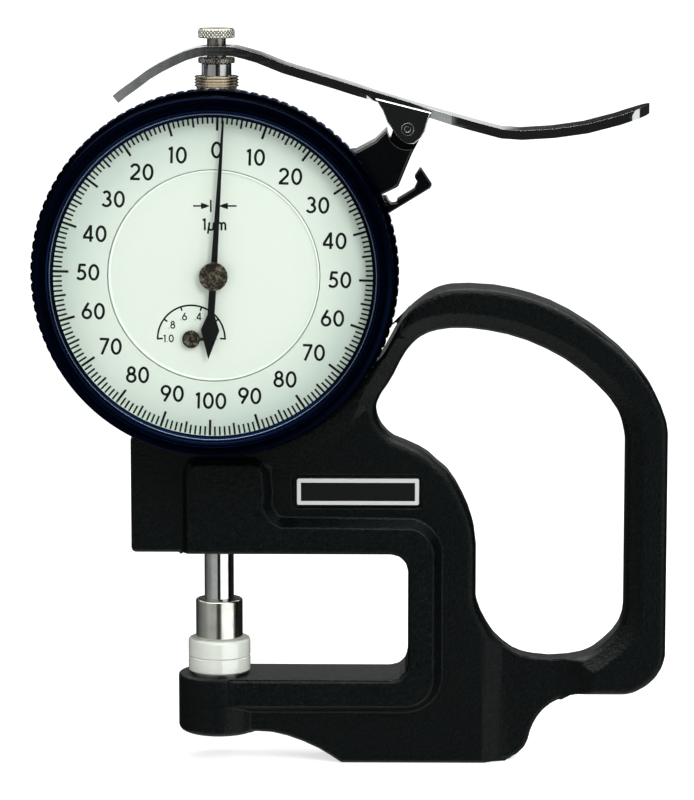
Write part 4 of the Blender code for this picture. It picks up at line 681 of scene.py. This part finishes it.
ruby = Finish("synthetic_ruby")
flame = ruby.noise(ruby.place(), 0.4 * MM, 2, 0.5)
RUBY = ruby.surface(
    Base_Color=ruby.blend(flame, shade(0.35, 0.008, 0.03), shade(0.58, 0.02, 0.07)),
    Roughness=0.05 + flame * 0.06,
)
print("made", CRYSTAL.name, RUBY.name)

# %% [markdown]
# The name plate is a plated strip with a blackened field, sunk into the casting. The field is left
# bare. Black and bright are on one sheet of metal, so they are one material with a mask: a point is
# in the field if it is far enough inside the plate's edge.

# %% Name plate
FIELD_EDGE = (0.58 * MM, 0.66 * MM)
BRUSH = 0.08 * MM
low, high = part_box("name_plate")
plate_middle = (low + high) / 2
plate_half = (high - low) / 2
plate = Finish("plated_plate")
x, _, z = plate.parts(plate.place(origin=tuple(plate_middle)))
inside = (plate_half.x - abs(x)).least(plate_half.z - abs(z))
field = inside.ramp(*FIELD_EDGE)
brush = plate.noise(plate.place(stretch=(0.03, 1, 1)), BRUSH, 3, 0.6)
PLATE = plate.surface(
    Base_Color=plate.blend(field, shade(0.80, 0.82, 0.81), shade(0.0035, 0.0038, 0.0042)),
    Metallic=(1 - field) * 0.3,
    Specular_IOR_Level=0.3,
    Roughness=0.16 + brush * 0.16 + field * 0.12,
    Normal=plate.relief((1 - field) + brush * 0.06, 0.05 * MM, 0.6),
)
wide, tall = (round(2 * half / MM, 1) for half in (plate_half.x, plate_half.z))
print("plate", wide, "by", tall, "mm")

# %% [markdown]
# Each solid now gets its finish. A name with a star at one end stands for all the solids whose
# names share the rest.

# %% Finishes of the solids
WORN_BY = {
    PAINT: ["frame"],
    PLATE: ["name_plate"],
    STEEL: [
        "anvil_stud", "spindle", "stem", "stem_clamp_screw", "spring_post", "drive_collar",
        "return_spring",
    ],
    STEEL_Y: ["cover_screw_*", "bracket_screw_*", "bezel_snap_ring", "*_arbor"],
    NICKEL: ["contact_holder"],
    CERAMIC: ["anvil_ceramic", "contact_ceramic"],
    HUB: ["pointer_hub"],
    SMALL_HUB: ["counter_pointer"],
    KNURLED: ["lift_knob"],
    BRASSY: ["upper_bush"],
    ALUMINIUM: ["case", "back_cover"],
    BRASS: [
        "front_plate", "rear_plate", "pillar_*", "*_wheel", "sector_lever",
        "scale_retaining_ring",
    ],
    RUBY: ["*_jewel"],
    BLUED: ["hairspring"],
    LACQUER: ["dial_plate", "scale_ring"],
    INK: ["main_pointer"],
    BEZEL_BLACK: ["bezel"],
    CRYSTAL: ["crystal"],
    CHROME: ["lifting_lever", "lever_pin"],
    ENAMEL: ["lever_bracket", "bezel_clamp", "clamp_rivet"],
}


def fits(name, pattern):
    if pattern.startswith("*"):
        return name.endswith(pattern[1:])
    return name.startswith(pattern[:-1]) if pattern.endswith("*") else name == pattern


bare = []
for name, solid in nodes.items():
    finish = [m for m, patterns in WORN_BY.items() if any(fits(name, p) for p in patterns)]
    if not finish:
        bare.append(name)
        continue
    solid.data.materials.clear()
    solid.data.materials.append(finish[0])
print("solids without a finish:", bare)

# %% [markdown]
# Two small helpers serve the rest of the lesson: one makes an object the only one chosen, and one
# chooses the faces of a mesh by the way they look. Faces could be listed by number, but a number
# says nothing to a reader, and it changes when the mesh does.


# %% Selecting
def only(obj):
    bpy.ops.object.select_all(action="DESELECT")
    obj.select_set(True)
    bpy.context.view_layer.objects.active = obj


def pick(obj, test):
    """In edit mode, selects the faces whose normal passes the test, and nothing else."""
    bpy.ops.mesh.select_mode(type="FACE")
    bpy.ops.mesh.select_all(action="DESELECT")
    mesh = bmesh.from_edit_mesh(obj.data)
    for face in mesh.faces:
        face.select = bool(test(face.normal))
    mesh.select_flush(True)
    bmesh.update_edit_mesh(obj.data)


print("two helpers for choosing")

# %% [markdown]
# The casting's curves are short flats in the CAD model, with a corner between each two. Their
# corners run straight from front to back, so they are easy to find, and a bevel rounds them. One
# width for all would be too much for the narrow flats and too little for the wide ones, so each
# corner gets a weight: a quarter of the narrower flat beside it. The recess of the name plate keeps
# its true corners.

# %% Rounding the casting's flats
WIDEST_ROUND = 4 * MM
FACET_ANGLES = (math.radians(7), math.radians(34))
FRONT_TO_BACK = 0.999
ROUND_SHARE = 4


def near_plate(place):
    across, up = abs(place.x - plate_middle.x), abs(place.z - plate_middle.z)
    return across < plate_half.x + MM and up < plate_half.z + MM


def round_facets(obj):
    """Rounds front-to-back corners between flats, and returns how many it found."""
    gentle, steep = FACET_ANGLES
    mesh = bmesh.new()
    mesh.from_mesh(obj.data)
    weight = mesh.edges.layers.float.new("bevel_weight_edge")
    for edge in mesh.edges:
        start, end = (point.co for point in edge.verts)
        level = abs((end - start).normalized().y) > FRONT_TO_BACK
        if level and not near_plate(start) and gentle < edge.calc_face_angle(0) < steep:
            narrower = min(face.calc_area() for face in edge.link_faces) / edge.calc_length()
            edge[weight] = min(narrower / ROUND_SHARE / WIDEST_ROUND, 1)
    rounded = sum(edge[weight] > 0 for edge in mesh.edges)
    mesh.to_mesh(obj.data)
    mesh.free()
    bevel = obj.modifiers.new("rounded_facets", "BEVEL")
    bevel.width, bevel.segments, bevel.limit_method = WIDEST_ROUND, 2, "WEIGHT"
    bevel.use_clamp_overlap = False
    bpy.ops.object.modifier_apply(modifier=bevel.name)
    return rounded


print("flats are rounded between", *(round(math.degrees(a)) for a in FACET_ANGLES), "degrees")

# %% [markdown]
# A solid from the CAD model is a bag of flat triangles, so a round spindle shows its facets and
# every edge is knife-sharp. Real edges are broken: they are filed, cast round or rolled, and a thin
# highlight on them is what makes a thing look solid. So each solid that can be seen from outside
# gets a skin: a copy whose triangles are merged, whose edges get a small bevel, and whose shading
# is smooth wherever two faces meet at a shallow angle. Weighted normals then keep the large faces
# flat, so that only the bevels bend the light. The three black castings have tiny faces where their
# shapes meet. Those would stop a bevel from growing to its width, so they are merged away first.
# The solid itself stays, unseen, to carry the joints.

# %% Skins over the solids
CAST = {"frame": 0.1, "lever_bracket": 0.05, "bezel_clamp": 0.05}
FLAT_WITHIN = math.radians(0.5)
SHARP_FROM = math.radians(34)
SMOOTH_BELOW = math.radians(30)
FLATNESS = 90


def merge_faces(distance):
    """In edit mode, joins points closer than distance, then the faces that lie in one plane."""
    bpy.ops.mesh.select_all(action="SELECT")
    bpy.ops.mesh.remove_doubles(threshold=distance)
    bpy.ops.mesh.select_all(action="SELECT")
    bpy.ops.mesh.dissolve_limited(angle_limit=FLAT_WITHIN)


def break_edges(piece, width, rounds, clamp):
    bevel = piece.modifiers.new("broken_edge", "BEVEL")
    bevel.width, bevel.segments = width, rounds
    bevel.limit_method, bevel.angle_limit = "ANGLE", SHARP_FROM
    bevel.use_clamp_overlap = clamp
    bpy.ops.object.modifier_apply(modifier=bevel.name)


def skin(name, edge):
    """A merged copy of a solid with its edges broken by edge millimetres, shown in its place."""
    solid = nodes[name]
    piece = bpy.data.objects.new(name + "_skin", solid.data.copy())
    bpy.context.scene.collection.objects.link(piece)
    only(piece)
    bpy.ops.object.mode_set(mode="EDIT")
    merge_faces(SAME_POINT)
    if name in CAST:
        merge_faces(CAST[name] * MM)
    bpy.ops.object.mode_set(mode="OBJECT")
    if name == "frame":
        print(name, round_facets(piece), "corners between facets rounded")
    if edge:
        break_edges(piece, edge * MM, 3 if name in CAST else 2, name not in CAST)
    bpy.ops.object.shade_smooth_by_angle(angle=SMOOTH_BELOW)
    flat = piece.modifiers.new("flats_stay_flat", "WEIGHTED_NORMAL")
    flat.mode, flat.weight, flat.keep_sharp = "FACE_AREA", FLATNESS, True
    bpy.ops.object.modifier_apply(modifier=flat.name)
    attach(piece, body_of(solid)[0])
    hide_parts(name)
    return piece


EDGES = {
    "frame": 0.3, "name_plate": 0.06, "anvil_stud": 0, "anvil_ceramic": 0, "contact_ceramic": 0,
    "contact_holder": 0.08, "spindle": 0, "stem": 0.1, "upper_bush": 0.06, "lift_knob": 0.08,
    "case": 0.15, "back_cover": 0.15, "lifting_lever": 0.12, "lever_bracket": 0.12,
    "lever_pin": 0.14, "bezel_clamp": 0.1, "clamp_rivet": 0.08, "pointer_hub": 0.08,
    "counter_pointer": 0.0, "main_pointer": 0.0, "stem_clamp_screw": 0.05,
    "cover_screw_1": 0.05, "cover_screw_2": 0.05, "cover_screw_3": 0.05, "cover_screw_4": 0.05,
    "scale_ring": 0, "dial_plate": 0, "crystal": 0.1,
}
skins = [skin(name, edge) for name, edge in EDGES.items()]
print(len(skins), "skins,", sum(len(piece.data.polygons) for piece in skins), "faces")

# %% [markdown]
# Everything that is turned on a lathe can be made as a lathe makes it: a profile is drawn once and
# spun about the axis. The profile starts as a primitive circle with one point for each corner, each
# point is set to its place, and the spin operator sweeps it round. The seam is merged, and the
# normals are then recalculated, because a spin may leave them pointing inwards.


# %% A ring about the dial's axis
def ring_about_dial(name, profile, steps, finish, body):
    """A closed profile of (radius, depth towards the reader) in millimetres, spun."""
    bpy.ops.object.select_all(action="DESELECT")
    bpy.ops.mesh.primitive_circle_add(vertices=len(profile), radius=MM, location=(0, 0, 0))
    piece = bpy.context.object
    piece.name = name
    for point, (radius, depth) in zip(piece.data.vertices, profile):
        point.co = (radius * MM, -depth * MM, DIAL_Z)
    bpy.ops.object.mode_set(mode="EDIT")
    bpy.ops.mesh.select_all(action="SELECT")
    bpy.ops.mesh.spin(steps=steps, angle=2 * math.pi, center=DIAL_MIDDLE, axis=(0, 1, 0))
    bpy.ops.mesh.select_all(action="SELECT")
    bpy.ops.mesh.remove_doubles(threshold=SAME_POINT)
    bpy.ops.mesh.normals_make_consistent(inside=False)
    bpy.ops.object.mode_set(mode="OBJECT")
    piece.data.materials.append(finish)
    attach(piece, body)
    return piece


print("rings are spun about z", round(DIAL_Z / MM, 1), "mm")

# %% [markdown]
# The bezel is the widest turned part. Its front has a flat black band between two fine edges, then
# a stepped lip that ends in a polished edge against the crystal. Its rim is milled with 108 shallow
# scallops for the fingers. They are made on the spun ring itself: four steps of the spin to a
# scallop, and every fourth row of the rim's points is scaled in towards the axis.

# %% Bezel
SCALLOPS = 108
STEPS_EACH = 4
STEPS = SCALLOPS * STEPS_EACH
RIM, ROOT = 28.85, 28.55
RIM_DEPTH = 0.05
SMOOTH_BEZEL = math.radians(24)
bezel_profile = [
    (24.75, 14.5), (24.75, 14.6), (25.2, 14.95), (25.3, 15.0), (25.42, 14.9), (25.5, 14.9),
    (25.6, 15.3), (25.9, 15.42), (25.97, 15.36), (26.05, 15.45), (26.3, 15.47), (26.38, 15.4),
    (26.46, 15.5), (27.55, 15.5), (27.75, 15.42), (27.88, 15.25), (27.95, 14.95), (28.0, 12.5),
    (28.1, 9.6), (28.15, 9.5), (28.6, 9.5), (RIM, 9.25), (RIM, 6.25), (28.6, 6.0), (26.7, 6.0),
    (26.7, 7.25), (27.1, 7.25), (27.1, 7.75), (26.7, 7.75), (26.7, 10.7), (25.7, 10.7),
    (25.7, 14.5),
]
bezel = ring_about_dial("milled_bezel", bezel_profile, STEPS, BEZEL_BLACK, "bezel_group")
only(bezel)
bpy.ops.object.mode_set(mode="EDIT")
bpy.ops.mesh.select_mode(type="VERT")
bpy.ops.mesh.select_all(action="DESELECT")
mesh = bmesh.from_edit_mesh(bezel.data)
for point in mesh.verts:
    radius = math.hypot(point.co.x, point.co.z - DIAL_Z)
    degrees = math.degrees(math.atan2(point.co.z - DIAL_Z, point.co.x))
    row = round(degrees / 360 * SCALLOPS * STEPS_EACH)
    point.select = radius > (RIM - RIM_DEPTH) * MM and row % STEPS_EACH == STEPS_EACH - 1
mesh.select_flush(True)
bmesh.update_edit_mesh(bezel.data)
chosen = sum(point.select for point in mesh.verts)
bpy.ops.transform.resize(value=(ROOT / RIM, 1, ROOT / RIM), center_override=DIAL_MIDDLE)
bpy.ops.object.mode_set(mode="OBJECT")
bpy.ops.object.shade_smooth_by_angle(angle=SMOOTH_BEZEL)
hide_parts("bezel")
print("bezel", len(bezel.data.polygons), "faces,", chosen, "points pulled in")

# %% [markdown]
# Where the fixed dial meets the turning scale there is a fine raised line. It is the rolled edge of
# the dial plate, so it is a thin bead of lacquer that covers the joint and stays with the plate.
# Its lacquer is a little brighter than the dial's, as a painted highlight along the bead.

# %% Bead between the dials
BEAD_STEPS = 240
SMOOTH_BEAD = math.radians(50)
bead_profile = [
    (16.1, 11.78), (16.14, 11.94), (16.22, 12.02), (16.32, 12.02), (16.42, 11.94), (16.46, 11.86),
    (16.36, 11.8),
]
bead = ring_about_dial("dial_bead", bead_profile, BEAD_STEPS, LACQUER_PAINTED_HIGHLIGHT, "gauge")
only(bead)
bpy.ops.object.shade_smooth_by_angle(angle=SMOOTH_BEAD)
print("bead", len(bead.data.polygons), "faces")

# %% [markdown]
# The outer scale has two hundred marks, one for each micrometre, longer at every fifth and tenth.
# They are printed, so a mark is a very thin slab of ink on the ring. One mark of each length is
# modelled here, its face drawn in a little as wet ink does.

# %% One mark of each length
RING_FACE = -12.0 * MM
MARKS_OUT = 25.1 * MM
INK_T = 0.02 * MM
INK_SUNK = 0.004 * MM
INK_DRAWN_IN = 0.02 * MM
FACES_READER = -0.9


def make_mark(length, width):
    top_y = RING_FACE - INK_T / 2 + INK_SUNK
    place = (0, top_y, DIAL_Z + MARKS_OUT - length / 2)
    bpy.ops.object.select_all(action="DESELECT")
    bpy.ops.mesh.primitive_cube_add(size=1, location=place)
    mark = bpy.context.object
    mark.scale = (width, INK_T, length)
    bpy.ops.object.transform_apply(location=True, rotation=True, scale=True)
    bpy.ops.object.mode_set(mode="EDIT")
    pick(mark, lambda normal: normal.y < FACES_READER)
    bpy.ops.mesh.inset(thickness=INK_DRAWN_IN, depth=0)
    bpy.ops.object.mode_set(mode="OBJECT")
    return mark


short_mark = make_mark(1.44 * MM, 0.29 * MM)
fifth_mark = make_mark(1.86 * MM, 0.32 * MM)
tenth_mark = make_mark(2.5 * MM, 0.38 * MM)
print("marks of", len(tenth_mark.data.polygons), "faces")

# %% [markdown]
# Copies of the three marks are turned round the dial's axis and joined. An array modifier could do
# it, but it can't skip to a longer mark at every fifth place. They ride with the bezel, because the
# real scale turns with it. The bezel of this gauge was left a little under one mark clockwise of
# its zero, so the whole scale is turned by that much.

# %% Marks all round
MARKS = 200
SCALE_TURN = 1.65


def dial_turn(degrees):
    """A turn about the dial's axis, clockwise as the dial is read."""
    about = Matrix.Translation(DIAL_MIDDLE)
    return about @ Matrix.Rotation(math.radians(degrees), 4, "Y") @ about.inverted()


ring = []
for number in range(MARKS):
    pattern = tenth_mark if number % 10 == 0 else fifth_mark if number % 5 == 0 else short_mark
    copy = pattern.copy()
    copy.data = pattern.data.copy()
    copy.data.transform(dial_turn(360 * number / MARKS + SCALE_TURN))
    bpy.context.scene.collection.objects.link(copy)
    ring.append(copy)
for pattern in (short_mark, fifth_mark, tenth_mark):
    bpy.data.objects.remove(pattern)
bpy.ops.object.select_all(action="DESELECT")
for copy in ring:
    copy.select_set(True)
bpy.context.view_layer.objects.active = ring[0]
bpy.ops.object.join()
scale_marks = bpy.context.object
scale_marks.name = "scale_marks"
scale_marks.data.materials.clear()
scale_marks.data.materials.append(INK)
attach(scale_marks, "bezel_group")
print("marks", len(scale_marks.data.polygons), "faces")

# %% [markdown]
# The figures are a plain geometric hand with strokes of one width, built from straight lines and
# arcs. A font file would be a second file to carry, and the built-in font is wider. So each figure
# is its width and a few strokes on a grid one unit high.


# %% Strokes of the figures
def bow(x, y, wide, tall, start, end, steps=14):
    """Points along an ellipse, from start to end in degrees, from the right and upwards."""
    turns = [math.radians(start + (end - start) * step / steps) for step in range(steps + 1)]
    return [(x + wide * math.cos(turn), y + tall * math.sin(turn)) for turn in turns]


FIGURES = {
    "0": (0.62, [bow(0.31, 0.5, 0.255, 0.43, 90, 450, 28)]),
    "1": (0.34, [[(0.02, 0.82), (0.2, 0.92)], [(0.2, 0.99), (0.2, 0.0)]]),
    "2": (0.62, [bow(0.29, 0.68, 0.235, 0.25, 165, -38) + [(0.06, 0.1)],
                 [(0.0, 0.07), (0.58, 0.07)]]),
    "3": (0.60, [bow(0.27, 0.72, 0.2, 0.21, 150, -90), bow(0.27, 0.29, 0.25, 0.22, 90, -155)]),
    "4": (0.64, [[(0.46, 0.0), (0.46, 1.0)], [(0.44, 0.95), (0.05, 0.29)],
                 [(0.0, 0.25), (0.62, 0.25)]]),
    "5": (0.60, [[(0.55, 0.93), (0.16, 0.93)], [(0.2, 0.95), (0.13, 0.46)],
                 bow(0.26, 0.33, 0.26, 0.265, 126, -145)]),
    "6": (0.62, [[(0.40, 0.99), (0.1, 0.46)] + bow(0.31, 0.32, 0.245, 0.255, 150, 510, 24)]),
    "7": (0.58, [[(0.02, 0.93), (0.58, 0.93)], [(0.54, 0.95), (0.16, 0.0)]]),
    "8": (0.60, [bow(0.3, 0.735, 0.185, 0.2, -90, 270, 22),
                 bow(0.3, 0.3, 0.245, 0.235, 90, 450, 24)]),
    "9": (0.62, [[(0.22, 0.01), (0.52, 0.54)] + bow(0.31, 0.68, 0.245, 0.255, -30, -390, 24)]),
    ".": (0.2, [[(0.08, 0.03), (0.08, 0.1)]]),
    "u": (0.62, [[(0.0, -0.28), (0.14, 0.66)], bow(0.27, 0.25, 0.2, 0.22, 190, 330),
                 [(0.44, 0.14), (0.5, 0.66)], [(0.5, 0.3), (0.46, 0.03)]]),
    "m": (0.86, [[(0.08, 0.0), (0.08, 0.66)], bow(0.24, 0.42, 0.16, 0.2, 180, 0, 8) + [(0.4, 0.0)],
                 bow(0.56, 0.42, 0.16, 0.2, 180, 0, 8) + [(0.72, 0.0)]]),
}
print(len(FIGURES), "figures drawn")

# %% [markdown]
# Every stroke becomes a curve with a round bevel, which gives it an even width and round turns, and
# is then pressed flat like ink. The bevel is one unit deep, so that the radius of a curve's point
# is half the stroke's width. A stroke that ends where it began is closed, so that it has no seam.


# %% Writing with them
TOUCHING = 1e-7


def written(text, x, z, tall, weight, gap=0.13):
    """A word centred on x, z in the plane of the dial: lists of points with half their width."""
    long = sum(FIGURES[letter][0] + gap for letter in text) - gap
    pen = x - long * tall / 2
    strokes = []
    for letter in text:
        width, lines = FIGURES[letter]
        for line in lines:
            points = [(pen + a * tall, z + (b - 0.5) * tall) for a, b in line]
            strokes.append((points, weight / 2))
        pen += (width + gap) * tall
    return strokes


def printed(name, strokes, face, body, turned=0.0):
    """Strokes as ink on the plane y = face, turned clockwise about the dial's middle."""
    drawing = bpy.data.curves.new(name, "CURVE")
    drawing.dimensions = "2D"
    drawing.fill_mode = "NONE"
    drawing.bevel_depth, drawing.bevel_resolution = 1.0, 1
    drawing.use_fill_caps = True
    for points, half in strokes:
        spline = drawing.splines.new("POLY")
        closed = math.dist(points[0], points[-1]) < TOUCHING
        kept = points[:-1] if closed else points
        spline.points.add(len(kept) - 1)
        for point, (x, z) in zip(spline.points, kept):
            point.co, point.radius = (x, z, 0, 1), half
        spline.use_cyclic_u = closed
    obj = bpy.data.objects.new(name, drawing)
    bpy.context.scene.collection.objects.link(obj)
    only(obj)
    bpy.ops.object.convert(target="MESH")
    obj = bpy.context.object
    spread = max(abs(v.co.z) for v in obj.data.vertices)
    press = Matrix.Scale(INK_T / 2 / spread, 4, (0, 0, 1))
    upright = Matrix.Rotation(math.pi / 2, 4, "X")
    obj.data.transform(Matrix.Translation((0, face, 0)) @ upright @ press)
    if turned:
        obj.data.transform(dial_turn(turned))
    obj.data.materials.append(INK)
    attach(obj, body)
    return obj


print("ink is", INK_T / MM, "mm thick")

# %% [markdown]
# The scale is numbered both ways from the top, at every tenth mark up to the hundred at the bottom.
# The figures stand upright round the dial, whichever way they lie from its middle, and are turned
# with the scale.

# %% Figures of the scale
FIGURES_AT = 19.6 * MM
FIGURE_TALL, FIGURE_WEIGHT = 2.6 * MM, 0.4 * MM
DEGREES_EACH = 360 / MARKS
strokes = []
for number in range(0, 101, 10):
    for side in (-1, 1) if 0 < number < 100 else (1,):
        angle = math.radians(number * DEGREES_EACH) * side
        x, z = FIGURES_AT * math.sin(angle), DIAL_Z + FIGURES_AT * math.cos(angle)
        strokes += written(str(number), x, z, FIGURE_TALL, FIGURE_WEIGHT)
scale_figures = printed("scale_figures", strokes, RING_FACE, "bezel_group", turned=SCALE_TURN)
print("figures", len(scale_figures.data.polygons), "faces")

# %% [markdown]
# The inner dial stands still. It carries the unit mark with two arrows that close on a pair of
# bars. An arrow's head is a row of short strokes, each narrower than the last.

# %% Unit mark
PLATE_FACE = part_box("dial_plate")[0].y
UNIT_Z = DIAL_Z + 10.9 * MM
HAIR = 0.13 * MM
BARS, BAR_HALF = (-0.4, 0.73), 0.95 * MM
ARROWS = ((-3.15, -0.62), (3.6, 0.95))
SHAFT_STOPS = 0.4
BARBS = ((1.3, 0.46), (1.05, 0.38), (0.8, 0.3), (0.58, 0.21), (0.36, 0.12))
BARB = 0.28


def level_line(start, end, half):
    """A level stroke in the arrows' line, in millimetres from the dial's axis."""
    return [(start * MM, UNIT_Z), (end * MM, UNIT_Z)], half


lines = []
for bar in BARS:
    lines.append(([(bar * MM, UNIT_Z - BAR_HALF), (bar * MM, UNIT_Z + BAR_HALF)], HAIR))
for tail, tip in ARROWS:
    way = 1 if tip > tail else -1
    lines.append(level_line(tail, tip - way * SHAFT_STOPS, HAIR))
    for back, half in BARBS:
        lines.append(level_line(tip - way * back, tip - way * (back - BARB), half * MM))
lines += written("1um", 0.2 * MM, DIAL_Z + 8.05 * MM, 1.9 * MM, 0.3 * MM, 0.1)
print("unit mark of", len(lines), "strokes")

# %% [markdown]
# Below the middle is the arc of the small hand, which counts whole turns: half a turn of it stands
# for five turns of the long hand, one millimetre of lift. The maker's words that such a dial also
# has are left out.

# %% Arc of the small hand
ARC_OUT, ARC_IN, ARC_END = 5.25, 4.6, 4.45
ARC_FOOT = 0.05
ARC_WEIGHT = 0.14 * MM
TICKS, TENTH = (2, 4, 6, 8), math.radians(18)
LABELS = ((".2", 3.1, 2.2), (".4", 1.05, 3.5), (".6", -1.2, 3.5), (".8", -3.05, 2.2),
          ("1.0", -3.55, 0.05))
LABEL_TALL, LABEL_WEIGHT = 1.2 * MM, 0.2 * MM


def from_small_hub(points):
    return [(SMALL_X + a * MM, SMALL_Z + b * MM) for a, b in points]


half_round = bow(0, 0, ARC_OUT, ARC_OUT, 0, 180, 44)
arc = [(ARC_END, ARC_FOOT)] + half_round + [(-ARC_END, ARC_FOOT)]
lines.append((from_small_hub(arc), ARC_WEIGHT))
for step in TICKS:
    turn = TENTH * step
    tick = [(r * math.cos(turn), r * math.sin(turn)) for r in (ARC_IN, ARC_OUT)]
    lines.append((from_small_hub(tick), HAIR))
for label, a, b in LABELS:
    lines += written(label, SMALL_X + a * MM, SMALL_Z + b * MM, LABEL_TALL, LABEL_WEIGHT, 0.08)
dial_print = printed("dial_print", lines, PLATE_FACE, "gauge")
print("inner print", len(dial_print.data.polygons), "faces")

# %% [markdown]
# A skin rounds corners off, and its own bevels move a face by a few hundredths of a millimetre at
# most, so what is shown should stay nearly the CAD model's box. The view transform is Standard,
# because the colours above were judged without a film curve.

# %% View transform
bpy.context.scene.view_settings.view_transform = "Standard"
